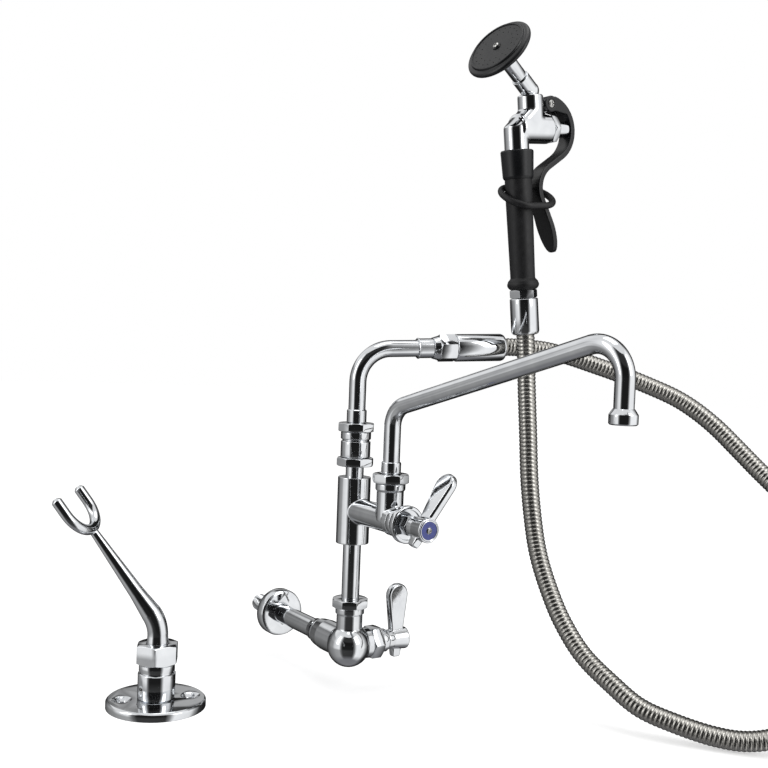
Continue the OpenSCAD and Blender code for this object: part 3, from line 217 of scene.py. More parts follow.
def chrome_plate():
    """Nickel and chromium plated over buffed cast brass: a mirror with a cool cast, faint buffing waves and
    a little haze where hands and cloths have been, so that reflections stay sharp but not computer-clean."""
    finish, tree, shader, place = new_finish("chromium_plate_buffed", in_Metallic=1.0)
    haze = grain(tree, place, 14, 4)
    wipes = grain(tree, place, 5, 5)
    # The buffing waves are 6 mm long. Noise uses some 0.4 of the depth, which leaves them 5 microns deep
    waves = grain(tree, place, 6, 1)
    tones = (haze, colours().chrome_dark, colours().chrome)
    surface(tree, shader, tones, (wipes, 0.045, 0.1), (waves, 0.012))
    return finish


def stainless_strip():
    """Type 304 strip, cold rolled and wound into a hose: a warm grey, bright but not mirror-like, whose
    colour and gloss vary with the rolling marks. The joints between its turns are real ones."""
    finish, tree, shader, place = new_finish("stainless_strip_wound", in_Metallic=1.0)
    marks = grain(tree, place, 1.2, 4)
    surface(tree, shader, (marks, linear("#94928D"), colours().hose), (marks, 0.2, 0.34), (marks, 0.02))
    return finish


def machined_brass():
    """Free-cutting brass straight from the lathe: warm yellow, with fine marks that break up its gloss."""
    finish, tree, shader, place = new_finish("brass_turned", in_Metallic=1.0)
    marks = grain(tree, place, 0.8, 3)
    surface(tree, shader, (marks, linear("#A98338"), linear("#CBA656")), (marks, 0.2, 0.35), (marks, 0.02))
    return finish


def screw_steel():
    """Cold-headed stainless steel: a soft sheen with the grain of the header's die."""
    finish, tree, shader, place = new_finish("stainless_cold_headed", in_Metallic=1.0)
    marks = grain(tree, place, 0.6, 3)
    tones = (marks, linear("#9C9B98"), linear("#C6C6C4"))
    surface(tree, shader, tones, (marks, 0.22, 0.38), (marks, 0.015))
    return finish


def black_rubber():
    """Compression-moulded nitrile rubber: deep black with a soft broad sheen and a fine mould texture."""
    finish, tree, shader, place = new_finish("nitrile_rubber_moulded", in_IOR=1.42)
    bloom = grain(tree, place, 9, 4)
    # The mould's grit is 0.1 mm and would not show, so it is drawn at 0.7 mm
    grit = grain(tree, place, 0.7, 2)
    surface(tree, shader, (bloom, linear("#0F0F11"), colours().rubber), (bloom, 0.42, 0.58), (grit, 0.012))
    return finish


def black_plastic():
    """Injection-moulded glass-filled nylon: black, semi-gloss, with the faint orange peel of a full mould."""
    finish, tree, shader, place = new_finish("nylon_black_moulded", in_IOR=1.42)
    flow = grain(tree, place, 12, 4, (1, 1, 0.4))
    peel = grain(tree, place, 1.4, 2)
    surface(tree, shader, (flow, linear("#0C0D0F"), colours().plastic), (flow, 0.27, 0.4), (peel, 0.006))
    return finish


def grey_plastic():
    """Moulded acetal, natural grey: slightly waxy and matt."""
    finish, tree, shader, place = new_finish("acetal_natural_moulded", in_IOR=1.48)
    flow = grain(tree, place, 5, 3)
    surface(tree, shader, (flow, linear("#BFC2C4"), linear("#D2D5D7")), (flow, 0.35, 0.5), (flow, 0.02))
    return finish


def blue_enamel():
    """Blue enamel filled into a pressed disc: glossy, slightly deeper where it pools."""
    finish, tree, shader, place = new_finish("enamel_blue_filled", in_IOR=1.55, in_Coat_Weight=0.2)
    pool = grain(tree, place, 4, 3)
    surface(tree, shader, (pool, linear("#26317A"), colours().disc), (pool, 0.12, 0.22), (pool, 0.02))
    return finish


MAKERS = {
    "polished_chrome": chrome_plate,
    "stainless_hose": stainless_strip,
    "raw_brass": machined_brass,
    "stainless_screw": screw_steel,
    "black_rubber": black_rubber,
    "black_plastic": black_plastic,
    "grey_plastic": grey_plastic,
    "blue_disc": blue_enamel,
}
FINISHES = {}


def finish_of(slot_name):
    """The one material of a slot, made when it is first asked for."""
    if slot_name not in FINISHES:
        FINISHES[slot_name] = MAKERS[slot_name]()
    return FINISHES[slot_name]


# Meshes


def put(name, data):
    """A new object of the scene that shows a mesh, a camera or a lamp."""
    obj = bpy.data.objects.new(name, data)
    bpy.context.scene.collection.objects.link(obj)
    return obj


def piece(name, points, faces, body, slot_name, nodes=(), smooth_deg=35):
    """A mesh in metres from points in millimetres, riding on a body and standing for CAD nodes."""
    mesh = bpy.data.meshes.new(name)
    mesh.from_pydata([tuple(c * MM for c in p) for p in points], [], faces)
    mesh.validate()
    mesh.update()
    obj = put(name, mesh)
    mesh.shade_smooth()
    mesh.set_sharp_from_angle(angle=math.radians(smooth_deg))
    mesh.materials.append(finish_of(slot_name))
    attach(obj, body)
    if nodes:
        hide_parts(*nodes)
    return obj


def curve_through(points, per_span=12):
    """Points close together on the smooth curve through the given ones, as part.scad runs it."""
    out = []
    last = len(points) - 1
    route = [Vector(p) for p in points]
    for i in range(last):
        a, b, c, d = (route[min(max(k, 0), last)] for k in (i - 1, i, i + 1, i + 2))
        for k in range(per_span):
            f = k / per_span
            square = (2 * a - 5 * b + 4 * c - d) * f * f
            cube = (3 * b - a - 3 * c + d) * f**3
            out.append(0.5 * (2 * b + (c - a) * f + square + cube))
    out.append(route[-1])
    return out


def evenly(points, count):
    """count points at even distances along a line of points, and the line's length."""
    lengths = [0.0]
    for a, b in zip(points, points[1:]):
        lengths.append(lengths[-1] + (b - a).length)
    out, k = [], 0
    for n in range(count):
        s = lengths[-1] * n / (count - 1)
        while k < len(points) - 2 and lengths[k + 1] < s:
            k += 1
        f = (s - lengths[k]) / max(lengths[k + 1] - lengths[k], 1e-9)
        out.append(points[k].lerp(points[k + 1], min(max(f, 0.0), 1.0)))
    return out, lengths[-1]


def frames_along(points):
    """Two directions square to the line at each point, which turn as little as they can."""
    out = []
    side = None
    for i, p in enumerate(points):
        ahead = (points[min(i + 1, len(points) - 1)] - points[max(i - 1, 0)]).normalized()
        if side is None:
            side = ahead.orthogonal().normalized()
        side = (side - ahead * side.dot(ahead)).normalized()
        out.append((side.copy(), ahead.cross(side)))
    return out


def tube(name, line, radius_at, bore, body, slot_name, nodes, sides=72, smooth_deg=35):
    """A tube open at both ends along a line of points in millimetres. radius_at gives its outside radius from
    the ring's number and the share of a turn."""
    points, faces = [], []
    pairs = frames_along(line)
    for wall in (radius_at, lambda ring, share: bore / 2):
        for ring, (centre, (side, up)) in enumerate(zip(line, pairs)):
            for k in range(sides):
                a = 2 * math.pi * k / sides
                points.append(centre + (side * math.cos(a) + up * math.sin(a)) * wall(ring, k / sides))
    rings = len(line)
    for wall, flip in ((0, False), (rings * sides, True)):
        for ring in range(rings - 1):
            for k in range(sides):
                a, b = wall + ring * sides + k, wall + ring * sides + (k + 1) % sides
                face = (a, b, b + sides, a + sides)
                faces.append(face[::-1] if flip else face)
    for ring, flip in ((0, True), (rings - 1, False)):
        for k in range(sides):
            a, b = ring * sides + k, ring * sides + (k + 1) % sides
            face = (a, b, b + rings * sides, a + rings * sides)
            faces.append(face[::-1] if flip else face)
    return piece(name, points, faces, body, slot_name, nodes, smooth_deg)


def bent_line(start, parts):
    """Points of a line in a plane, from (x, z, heading), through parts that are ("straight", length) or
    ("bend", radius, degrees to the right)."""
    x, z, heading = start
    line = [(x, z)]
    for part in parts:
        if part[0] == "straight":
            x += math.cos(heading) * part[1]
            z += math.sin(heading) * part[1]
            line.append((x, z))
        else:
            radius, turn = part[1], math.radians(part[2])
            centre = (x + math.sin(heading) * radius, z - math.cos(heading) * radius)
            steps = max(8, round(abs(part[2]) / 2.5))
            for k in range(1, steps + 1):
                now = heading - turn * k / steps
                line.append((centre[0] - math.sin(now) * radius, centre[1] + math.cos(now) * radius))
            x, z = line[-1]
            heading -= turn
    return line


def turned_about(line, place, degrees):
    """Points of a line in the XZ plane turned about the upright axis at a place."""
    a = math.radians(degrees)
    return [Vector((place[0] + x * math.cos(a), place[1] + x * math.sin(a), z)) for x, z in line]


def softened(node, name, voxel_mm, rounds):
    """A close copy of a frame piece with the eased edges of a buffed casting or a moulding: rebuilt in cells
    of voxel_mm and smoothed that many rounds."""
    obj = put(name, frame["nodes"][node].data.copy())
    weld = obj.modifiers.new("weld", "WELD")
    weld.merge_threshold = 0.002 * MM
    cells = obj.modifiers.new("cells", "REMESH")
    cells.mode = "VOXEL"
    cells.voxel_size = voxel_mm * MM
    buff = obj.modifiers.new("buff", "SMOOTH")
    buff.factor = 0.5
    buff.iterations = rounds
    return settled(obj, node)


def eased(node, name):
    """A close copy of a frame piece with its machined edges broken by a small bevel."""
    obj = put(name, frame["nodes"][node].data.copy())
    mesh = bmesh.new()
    mesh.from_mesh(obj.data)
    # Flat faces are joined up first, so that only real edges are broken
    bmesh.ops.remove_doubles(mesh, verts=mesh.verts, dist=0.004 * MM)
    bmesh.ops.dissolve_limit(mesh, angle_limit=math.radians(0.6), verts=mesh.verts, edges=mesh.edges)
    mesh.to_mesh(obj.data)
    mesh.free()
    bevel = obj.modifiers.new("break", "BEVEL")
    bevel.width = 0.35 * MM
    bevel.segments = 2
    bevel.limit_method = "ANGLE"
    bevel.angle_limit = math.radians(30)
    bevel.miter_outer = "MITER_ARC"
    bevel.harden_normals = False
    return settled(obj, node, 40)


def settled(obj, node, smooth_deg=180):
    """The object with its modifiers applied, riding where its frame piece rides and standing for it."""
    done = bpy.data.meshes.new_from_object(obj.evaluated_get(bpy.context.evaluated_depsgraph_get()))
    obj.modifiers.clear()
    obj.data = done
    done.name = obj.name
    done.shade_smooth()
    if smooth_deg < 180:
        done.set_sharp_from_angle(angle=math.radians(smooth_deg))
    slot_name = SLOTS[node]
    done.materials.clear()
    done.materials.append(finish_of(slot_name))
    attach(obj, body_of(frame["nodes"][node])[0])
    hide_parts(node)
    return obj


def index_rim(node, name, axis, way):
    """The bright rolled rim of a lever's index disc: a half-round ring on the disc's face, which looks along
    an axis, 0 or 1 for X or Y, one way or the other."""
    low, high = ([c / MM for c in corner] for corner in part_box(node))
    centre = [(a + b) / 2 for a, b in zip(low, high)]
    face = high[axis] if way > 0 else low[axis]
    edge = (high[2] - low[2]) / 2
    sides, count = 64, len(RIM_SECTION)
    points, faces = [], []
    for k in range(sides):
        turn = 2 * math.pi * k / sides
        for inward, lift in RIM_SECTION:
            at = [0.0, 0.0, centre[2] + (edge - inward) * math.sin(turn)]
            at[axis] = face + way * lift
            at[1 - axis] = centre[1 - axis] + (edge - inward) * math.cos(turn)
            points.append(at)
        this, after = k * count, (k + 1) % sides * count
        for i in range(count):
            j = (i + 1) % count
            faces.append((this + i, this + j, after + j, after + i))
    rim = piece(name, points, faces, body_of(frame["nodes"][node])[0], "polished_chrome")
    mesh = bmesh.new()
    mesh.from_mesh(rim.data)
    bmesh.ops.recalc_face_normals(mesh, faces=mesh.faces)
    mesh.to_mesh(rim.data)
    mesh.free()
    return rim


# Properties


class FaucetHose(bpy.types.PropertyGroup):
    """Sizes of the wound hose"""

    diameter: bpy.props.FloatProperty(
        name="Diameter", description="Outside diameter of the hose", default=0.0206, unit="LENGTH"
    )
    pitch: bpy.props.FloatProperty(
        name="Pitch", description="Distance between two turns of the strip", default=0.0045, unit="LENGTH"
    )
    joint: bpy.props.FloatProperty(
        name="Joint depth", description="Depth of the joint between two turns", default=0.001, unit="LENGTH"
    )


class FaucetTubes(bpy.types.PropertyGroup):
    """Sizes of the swing spout"""

    reach: bpy.props.FloatProperty(
        name="Reach", description="Distance from the spout's axis to its outlet", default=0.293, unit="LENGTH"
    )
    slope: bpy.props.FloatProperty(
        name="Slope",
        description="Rise of the spout's long run",
        default=math.radians(16.3),
        min=math.radians(5),
        max=math.radians(25),
        unit="ROTATION",
    )


# What each colour of the panel shares
SWATCH = {"size": 4, "min": 0, "max": 1, "subtype": "COLOR"}


class FaucetFinishes(bpy.types.PropertyGroup):
    """Colours of the faucet's main finishes"""

    chrome: bpy.props.FloatVectorProperty(
        name="Chrome", description="Colour of the clear chrome", default=linear("#D8DADC"), **SWATCH
    )
    chrome_dark: bpy.props.FloatVectorProperty(
        name="Hazed chrome", description="Colour of the hazed chrome", default=linear("#CDCFD2"), **SWATCH
    )
    hose: bpy.props.FloatVectorProperty(
        name="Strip", description="Colour of the hose's steel strip", default=linear("#BAB8B3"), **SWATCH
    )
    rubber: bpy.props.FloatVectorProperty(
        name="Rubber", description="Colour of the black rubber", default=linear("#161618"), **SWATCH
    )
    plastic: bpy.props.FloatVectorProperty(
        name="Plastic", description="Colour of the black plastic", default=linear("#131417"), **SWATCH
    )
    disc: bpy.props.FloatVectorProperty(
        name="Index disc", description="Colour of the index discs", default=linear("#33418F"), **SWATCH
    )


class FaucetStage(bpy.types.PropertyGroup):
    """Settings of the camera, the floor and the light"""

    floor_z: bpy.props.FloatProperty(
        name="Floor", description="Height of the floor under the hose's bend", default=-0.0545, unit="LENGTH"
    )
    lens: bpy.props.FloatProperty(
        name="Lens", description="Focal length that fits the photograph's frame", default=51.09, unit="CAMERA"
    )
    lamp: bpy.props.FloatProperty(
        name="Lamp", description="Power of the key lamp", default=11.0, min=0.0, unit="POWER"
    )
    sky: bpy.props.FloatProperty(
        name="Fill", description="Strength of the room's light on the object", default=0.75, min=0.0
    )
    tent: bpy.props.FloatProperty(
        name="Tent", description="Strength of the tent's white walls in reflections", default=1.25, min=0.0
    )


# Stage

# The camera that fits the photograph's level and upright lines, in degrees: its turn about the object from
# square-on, its tip down and its roll
CAMERA_TURN, CAMERA_TIP, CAMERA_ROLL = -33.5, 2.3, -2.1
SENSOR_MM = 36

# The valve body's middle: its place in metres, its pixel in the photograph's square frame, and how far in
# front of the camera it lies
VALVE = Vector((0, -0.17, 0))
VALVE_PIXEL = (348.5, 645)
PICTURE_PIXELS = 768
VALVE_DISTANCE = 1.219

# The soft boxes, in metres from the middle of the object: name, place to the picture's right, towards the
# camera and up, width and height, and share of the lamp setting
LIT_MIDDLE = Vector((0.05, -0.3, 0.2))
SOFT_BOXES = (
    ("key", (1.6, 1.1, 1.1), (0.8, 1.6), 1.0),
    ("side", (-1.9, 0.9, 0.9), (0.5, 1.6), 0.6),
    ("top", (0, 0, 2.2), (1.2, 1.0), 0.6),
)

# The room in metres: the floor's radius, and the tent's radius, foot, top and axis
FLOOR_RADIUS = 7
TENT_RADIUS, TENT_FOOT, TENT_TOP = 2.4, -2.6, 3.4
TENT_AXIS = (0, -0.25, 0)

# The tones of the tent round the object as they look, from 0 for black to 1 for white: degrees to the right
# of the camera, then the tone low down, level with the object, just above it, high up and overhead
TENT = (
    (-180, 0.12, 0.10, 0.68, 0.12, 0.95),
    (-162, 0.14, 0.10, 0.66, 0.30, 0.95),
    (-150, 0.22, 0.12, 0.20, 0.85, 1.00),
    (-128, 0.40, 0.34, 0.45, 0.95, 1.00),
    (-112, 0.50, 0.56, 0.62, 0.92, 1.00),
    (-92, 0.56, 0.62, 0.70, 0.88, 1.00),
    (-78, 0.62, 0.88, 0.95, 0.95, 1.00),
    (-50, 0.66, 0.98, 1.00, 1.00, 1.00),
    (-41, 0.44, 0.45, 0.45, 0.50, 0.95),
    (-32, 0.24, 0.12, 0.10, 0.20, 0.90),
    (27, 0.22, 0.12, 0.10, 0.20, 0.90),
    (36, 0.55, 0.55, 0.50, 0.60, 0.95),
    (47, 1.00, 1.00, 1.00, 1.00, 1.00),
    (92, 0.92, 1.00, 1.00, 1.00, 1.00),
    (106, 0.60, 0.72, 0.75, 0.80, 1.00),
    (124, 0.22, 0.14, 0.14, 0.30, 0.95),
    (150, 0.12, 0.10, 0.10, 0.12, 0.95),
    (166, 0.12, 0.10, 0.60, 0.12, 0.95),
    (180, 0.12, 0.10, 0.68, 0.12, 0.95),
)

# The columns of that table that take over from the level one, each with the heights over the level, in
# degrees, where it starts and where it has taken over. Below them all a painted grey, linear, takes over: a
# painted reflection of the floor, darker than the white floor, which reflections do not see
TENT_LAYERS = ((3, 9, 14), (4, 26, 31), (5, 56, 66), (1, -8, -16))
TENT_FLOOR_LAYER = (-44, -66)
TENT_FLOOR_TONE = (0.2, 0.2, 0.21, 1.0)


def circle(radius, sides, z):
    """Points round a level circle about the upright axis."""
    turns = [2 * math.pi * k / sides for k in range(sides)]
    return [(radius * math.cos(turn), radius * math.sin(turn), z) for turn in turns]


def camera_axes():
    """The level directions from the object to the camera and to the picture's right."""
    turn = math.radians(CAMERA_TURN)
    return Vector((math.sin(turn), -math.cos(turn), 0.0)), Vector((math.cos(turn), math.sin(turn), 0.0))


def place_camera(stage):
    """The photograph's camera, with the valve body on its pixel."""
    toward, right = camera_axes()
    tip, roll = math.radians(CAMERA_TIP), math.radians(CAMERA_ROLL)
    ahead = Vector((0, 0, -math.sin(tip))) - toward * math.cos(tip)
    up = right.cross(ahead)
    picture_right = math.cos(roll) * right - math.sin(roll) * up
    picture_up = math.sin(roll) * right + math.cos(roll) * up
    focal_pixels = stage.lens / SENSOR_MM * PICTURE_PIXELS
    x = (VALVE_PIXEL[0] - PICTURE_PIXELS / 2) / focal_pixels
    y = (PICTURE_PIXELS / 2 - VALVE_PIXEL[1]) / focal_pixels
    place = VALVE - VALVE_DISTANCE * (x * picture_right + y * picture_up + ahead)
    camera = bpy.data.cameras.new("camera")
    camera.lens = stage.lens
    camera.sensor_width = SENSOR_MM
    camera.clip_start, camera.clip_end = 0.02, 50
    obj = put("camera", camera)
    rows = [[picture_right[i], picture_up[i], -ahead[i], place[i]] for i in range(3)]
    obj.matrix_world = Matrix(rows + [[0, 0, 0, 1]])
    bpy.context.scene.camera = obj


def soft_lamp(name, place, target, size, watts):
    """A soft box aimed at a point."""
    light = bpy.data.lights.new(name, "AREA")
    light.shape = "RECTANGLE"
    light.size, light.size_y = size
    light.energy = watts
    obj = put(name, light)
    obj.location = place
    obj.rotation_euler = (target - place).to_track_quat("-Z", "Y").to_euler()


def plainly_seen(tree):
    """1 for rays from the camera, off a polished piece or through a clear one, and 0 for the light's own."""
    rays = add(tree, "ShaderNodeLightPath").outputs
    seen = rays["Is Camera Ray"]
    for ray in ("Is Glossy Ray", "Is Transmission Ray"):
        seen = add(tree, "ShaderNodeMath", {0: seen, 1: rays[ray]}, operation="MAXIMUM").outputs[0]
    return seen


def white_room(strength):
    """The world: plain white where it is seen, and light of that strength on the object."""
    world = bpy.data.worlds.new("white_room")
    bpy.context.scene.world = world
    tree = empty_tree(world)
    fill = add(tree, "ShaderNodeBackground", in_Color=(1, 1, 1, 1), in_Strength=strength)
    white = add(tree, "ShaderNodeBackground", in_Color=(1, 1, 1, 1), in_Strength=1.0)
    links = {0: plainly_seen(tree), 1: fill.outputs[0], 2: white.outputs[0]}
    mix = add(tree, "ShaderNodeMixShader", links)
    add(tree, "ShaderNodeOutputWorld", {"Surface": mix.outputs[0]})


def paper_floor(height):
    """A white paper sweep that keeps the object's shadow and is otherwise as white as the room."""
    mesh = bpy.data.meshes.new("floor")
    mesh.from_pydata(circle(FLOOR_RADIUS, 64, height), [], [tuple(range(64))])
    floor = put("floor", mesh)
    paper = bpy.data.materials.new("white_paper_sweep")
    tree = empty_tree(paper)
    sheet = add(tree, "ShaderNodeBsdfDiffuse", in_Color=linear("#E6E6E6"))
    lift = add(tree, "ShaderNodeEmission", in_Color=(1, 1, 1, 1), in_Strength=0.45)
    both = add(tree, "ShaderNodeAddShader", {0: sheet.outputs[0], 1: lift.outputs[0]})
    links = {0: plainly_seen(tree), 1: sheet.outputs[0], 2: both.outputs[0]}
    mix = add(tree, "ShaderNodeMixShader", links)
    add(tree, "ShaderNodeOutputMaterial", {"Surface": mix.outputs[0]})
    mesh.materials.append(paper)
    floor.visible_glossy = False


def painted_reflection_tones(strength):
    """The tent's painted reflections: it glows in the table's tones by the turn and the height of the view, and
    only reflections see it.
    """
    reflection_sheet = bpy.data.materials.new("tent_painted_reflections")
    tree = empty_tree(reflection_sheet)
    place = add(tree, "ShaderNodeTexCoord").outputs["Object"]
    axes = add(tree, "ShaderNodeSeparateXYZ", {"Vector": place}).outputs
    turn = add(tree, "ShaderNodeMath", {0: axes["Y"], 1: axes["X"]}, operation="ARCTAN2").outputs[0]
    to_share = {"operation": "MULTIPLY_ADD", "in_1": 0.5 / math.pi, "in_2": 0.5}
    share = add(tree, "ShaderNodeMath", {0: turn}, **to_share).outputs[0]
    level_part = add(tree, "ShaderNodeVectorMath", {0: place}, operation="MULTIPLY", in_1=(1, 1, 0))
    reach = add(tree, "ShaderNodeVectorMath", {0: level_part.outputs[0]}, operation="LENGTH")
    rise_of = {0: axes["Z"], 1: reach.outputs["Value"]}
    rise = add(tree, "ShaderNodeMath", rise_of, operation="ARCTAN2").outputs[0]

    def band(column):
        """A column of the table as a band of tones round the tent."""
        stops = [(line[0] / 360 + 0.5, linear(line[column])) for line in TENT]
        return add(tree, "ShaderNodeValToRGB", {"Fac": share}, stops).outputs["Color"]

    def taken_over(tone, start, end, links, **settings):
        """The tone up to the height where another one starts, and that one from where it ends taking over."""
        ends = {"in_From_Min": math.radians(start), "in_From_Max": math.radians(end)}
        part = add(tree, "ShaderNodeMapRange", {"Value": rise}, **ends).outputs["Result"]
        links = {"Fac": part, "Color1": tone, **links}
        return add(tree, "ShaderNodeMixRGB", links, **settings).outputs[0]

    tone = band(2)
    for column, start, end in TENT_LAYERS:
        tone = taken_over(tone, start, end, {"Color2": band(column)})
    tone = taken_over(tone, *TENT_FLOOR_LAYER, {}, in_Color2=TENT_FLOOR_TONE)
    glow = add(tree, "ShaderNodeEmission", {"Color": tone}, in_Strength=strength)
    add(tree, "ShaderNodeOutputMaterial", {"Surface": glow.outputs[0]})
    reflection_sheet.cycles.emission_sampling = "NONE"
    return reflection_sheet


def reflection_tent(strength):
    """The studio's open-topped tent, which reflections alone see: a black flag at the camera, white walls on
    both sides and a dark far side that draws the outline round each polished piece."""
    sides = 48
    points = circle(TENT_RADIUS, sides, TENT_FOOT) + circle(TENT_RADIUS, sides, TENT_TOP)
    faces = [(k, (k + 1) % sides, (k + 1) % sides + sides, k + sides) for k in range(sides)]
    mesh = bpy.data.meshes.new("tent")
    mesh.from_pydata(points, [], faces + [tuple(range(sides))])
    mesh.materials.append(painted_reflection_tones(strength))
    tent = put("tent", mesh)
    toward, _ = camera_axes()
    tent.location = TENT_AXIS
    tent.rotation_euler = (0, 0, math.atan2(toward.y, toward.x))
    tent.visible_camera = False
    tent.visible_diffuse = False
    tent.visible_shadow = False


# Hose and tubes


def wound_hose(sizes):
    """The hose of wound strip, its turns counted from its length along the route."""
    line = curve_through(HOSE_ROUTE)
    _, length = evenly(line, 2)
    turns = round(length * MM / sizes.pitch)
    per_turn, sides = 8, 24
    path, length = evenly(line, turns * per_turn + 1)
    crown = sizes.diameter / 2 / MM
    depth = sizes.joint / MM

    def outside(ring, share):
        """A turn of the strip is a broad crown between two narrow joints."""
        across = (ring / per_turn + share) % 1.0
        return crown - depth * (1 - math.sin(math.pi * across) ** 0.55)

    body, slot_name = "neck_and_hose", "stainless_hose"
    hose = tube("hose_wound_strip", path, outside, HOSE_BORE, body, slot_name, ["hose"], sides, 60)


def drawn_tube(name, line, radius, body, node):
    """A plain tube along a line of points."""
    tube(name, line, lambda ring, share: radius, TUBE_BORE, body, "polished_chrome", [node])


def swing_spout(sizes):
    """The spout: up, over into the long rising run, and down again to the outlet."""
    slope, reach = sizes.slope, sizes.reach / MM
    low_cut = SPOUT_LOW_BEND * math.tan((math.pi / 2 - slope) / 2)
    top_cut = SPOUT_TOP_BEND * math.tan((math.pi / 2 + slope) / 2)
    peak = SPOUT_CORNER + reach * math.tan(slope)
    parts = [
        ("straight", SPOUT_CORNER - low_cut - SPOUT_FOOT),
        ("bend", SPOUT_LOW_BEND, 90 - math.degrees(slope)),
        ("straight", reach / math.cos(slope) - low_cut - top_cut),
        ("bend", SPOUT_TOP_BEND, 90 + math.degrees(slope)),
        ("straight", peak - top_cut - SPOUT_END),
    ]
    line = turned_about(bent_line((0, SPOUT_FOOT, math.pi / 2), parts), SPOUT_AXIS, SPOUT_TURN)
    drawn_tube("spout_drawn_tube", line, SPOUT_RADIUS, "swing_spout", "spout_tube")


def neck():
    """The neck: up, over in one bend and out to the hose."""
    parts = [("straight", NECK_TOP - NECK_FOOT), ("bend", NECK_BEND, NECK_BEND_TURN), ("straight", NECK_RUN)]
    line = turned_about(bent_line((0, NECK_FOOT, math.pi / 2), parts), NECK_AXIS, NECK_TURN)
    drawn_tube("neck_drawn_tube", line, NECK_RADIUS, "neck_and_hose", "neck_tube")


def supply_pipe():
    """The supply pipe, plain in front of the wall and threaded behind its face."""
    threaded, step = 161, 0.3
    line = [Vector((0, PIPE_TAIL - step * k, 0)) for k in range(threaded)]
    line += [Vector((0, y, 0)) for y in (1.7, 1.4, PIPE_FRONT)]

    def outside(ring, share):
        """The thread fades in and out over a few rings, and the tail's end is chamfered."""
        if ring >= threaded:
            return THREAD_CREST if ring == threaded else PIPE_RADIUS
        turn = (ring * step / THREAD_PITCH + share) % 1.0
        fade = min(1.0, (ring + 2) / 9, (threaded + 2 - ring) / 9)
        chamfer = 0.8 * max(0, 1 - ring / 4)
        return THREAD_CREST - THREAD_DEPTH * abs(2 * turn - 1) * fade - chamfer

    name, slot_name = "supply_pipe_threaded", "polished_chrome"
    tube(name, line, outside, PIPE_BORE, "fixed_column", slot_name, ["supply_pipe"], 72, 50)


# Operators


class FAUCET_OT_stage(bpy.types.Operator):
    """Camera, floor, lamps, reflection tent and the room's light"""

    bl_idname = "faucet.stage"
    bl_label = "Stage"

    def execute(self, context):
        stage = context.scene.faucet_stage
        place_camera(stage)
        context.scene.view_settings.view_transform = "Standard"
        white_room(stage.sky)
        paper_floor(stage.floor_z)
        toward, right = camera_axes()
        for name, (across, near, up), size, share in SOFT_BOXES:
            place = LIT_MIDDLE + right * across + toward * near + Vector((0, 0, up))
            soft_lamp(name, place, LIT_MIDDLE, size, stage.lamp * share)
        reflection_tent(stage.tent)
        return {"FINISHED"}


class FAUCET_OT_hose(bpy.types.Operator):
    """The wound stainless hose from the neck to the gun"""

    bl_idname = "faucet.hose"
    bl_label = "Hose"

    def execute(self, context):
        wound_hose(context.scene.faucet_hose)
        return {"FINISHED"}


class FAUCET_OT_tubes(bpy.types.Operator):
    """The swing spout's and the neck's drawn tubes, and the supply pipe with its thread"""

    bl_idname = "faucet.tubes"
    bl_label = "Tubes"

    def execute(self, context):
        swing_spout(context.scene.faucet_tubes)
        neck()
        supply_pipe()
        return {"FINISHED"}


class FAUCET_OT_castings(bpy.types.Operator):
    """The cast and buffed pieces: valve body, tee, gun body, elbow and fork"""

    bl_idname = "faucet.castings"
    bl_label = "Castings"

    def execute(self, context):
        softened("valve_body", "valve_cast_ball", voxel_mm=0.6, rounds=6)
        softened("tee_body", "tee_cast", voxel_mm=0.55, rounds=6)
        softened("gun_body", "gun_cast_body", voxel_mm=0.5, rounds=70)
        softened("nozzle_elbow", "nozzle_cast_elbow", voxel_mm=0.4, rounds=6)
        softened("fork", "fork_bent_rod", voxel_mm=0.45, rounds=6)
        return {"FINISHED"}


class FAUCET_OT_levers(bpy.types.Operator):
    """The two cast levers and the rims of their index discs"""

    bl_idname = "faucet.levers"
    bl_label = "Levers"

    def execute(self, context):
        softened("lower_lever", "lower_lever_cast", voxel_mm=0.35, rounds=30)
        softened("upper_lever", "upper_lever_cast", voxel_mm=0.35, rounds=30)
        index_rim("lower_index", "lower_index_rim", 0, 1)
        index_rim("upper_index", "upper_index_rim", 1, -1)
        return {"FINISHED"}


class FAUCET_OT_mouldings(bpy.types.Operator):
    """The gun's black mouldings: trigger, grip, collar, spray head and hold ring"""

    bl_idname = "faucet.mouldings"
    bl_label = "Mouldings"

    def execute(self, context):
        softened("trigger", "trigger_moulded", voxel_mm=0.45, rounds=8)
        softened("grip", "grip_moulded", voxel_mm=0.5, rounds=4)
        softened("grip_collar", "grip_collar_moulded", voxel_mm=0.4, rounds=3)
        softened("spray_head", "spray_head_moulded", voxel_mm=0.45, rounds=5)
        softened("hold_ring", "hold_ring_moulded", voxel_mm=0.4, rounds=2)
        return {"FINISHED"}


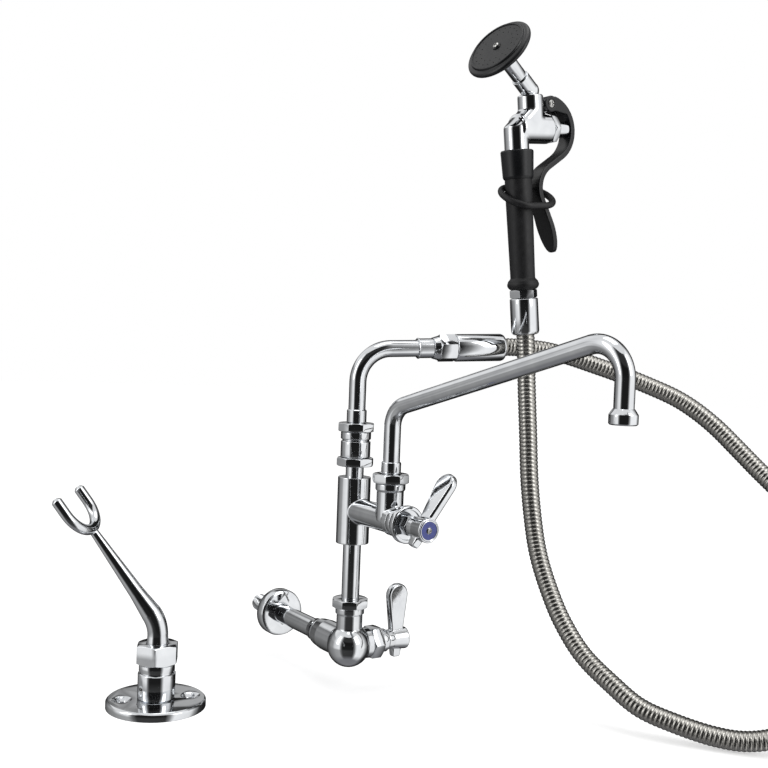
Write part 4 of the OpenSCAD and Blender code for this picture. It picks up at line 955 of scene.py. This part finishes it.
class FAUCET_OT_turned(bpy.types.Operator):
    """The turned and milled pieces: nuts, rings, sleeves and the holder"""

    bl_idname = "faucet.turned"
    bl_label = "Turned pieces"

    def execute(self, context):
        for node in TURNED:
            eased(node, node + "_machined")
        return {"FINISHED"}


class FAUCET_OT_finishes(bpy.types.Operator):
    """Finishes of the frame's own pieces"""

    bl_idname = "faucet.finishes"
    bl_label = "Finishes"

    def execute(self, context):
        for node, obj in frame["nodes"].items():
            if obj.hide_render:
                continue
            for slot_of_obj in obj.material_slots:
                slot_of_obj.material = finish_of(SLOTS[node])
        return {"FINISHED"}


class FAUCET_PT_build(bpy.types.Panel):
    """The faucet's settings and its building steps"""

    bl_idname = "FAUCET_PT_build"
    bl_label = "Faucet"
    bl_space_type = "VIEW_3D"
    bl_region_type = "UI"
    bl_category = "Faucet"

    def draw(self, context):
        for group in (getattr(context.scene, name) for name in GROUPS):
            box = self.layout.box()
            for name in group.bl_rna.properties.keys():
                if name not in ("rna_type", "name"):
                    box.prop(group, name)
        for operator in OPERATORS:
            self.layout.operator(operator.bl_idname)


OPERATORS = (
    FAUCET_OT_stage,
    FAUCET_OT_hose,
    FAUCET_OT_tubes,
    FAUCET_OT_castings,
    FAUCET_OT_levers,
    FAUCET_OT_mouldings,
    FAUCET_OT_turned,
    FAUCET_OT_finishes,
)
GROUPS = {
    "faucet_hose": FaucetHose,
    "faucet_tubes": FaucetTubes,
    "faucet_finishes": FaucetFinishes,
    "faucet_stage": FaucetStage,
}


def register():
    for name, group in GROUPS.items():
        bpy.utils.register_class(group)
        setattr(bpy.types.Scene, name, bpy.props.PointerProperty(type=group))
    for cls in OPERATORS + (FAUCET_PT_build,):
        bpy.utils.register_class(cls)


def unregister():
    for cls in (FAUCET_PT_build,) + OPERATORS[::-1]:
        bpy.utils.unregister_class(cls)
    for name, group in GROUPS.items():
        delattr(bpy.types.Scene, name)
        bpy.utils.unregister_class(group)


def main():
    register()
    bpy.ops.faucet.stage()
    bpy.ops.faucet.hose()
    bpy.ops.faucet.tubes()
    bpy.ops.faucet.castings()
    bpy.ops.faucet.levers()
    bpy.ops.faucet.mouldings()
    bpy.ops.faucet.turned()
    bpy.ops.faucet.finishes()


if __name__ == "__main__":
    main()
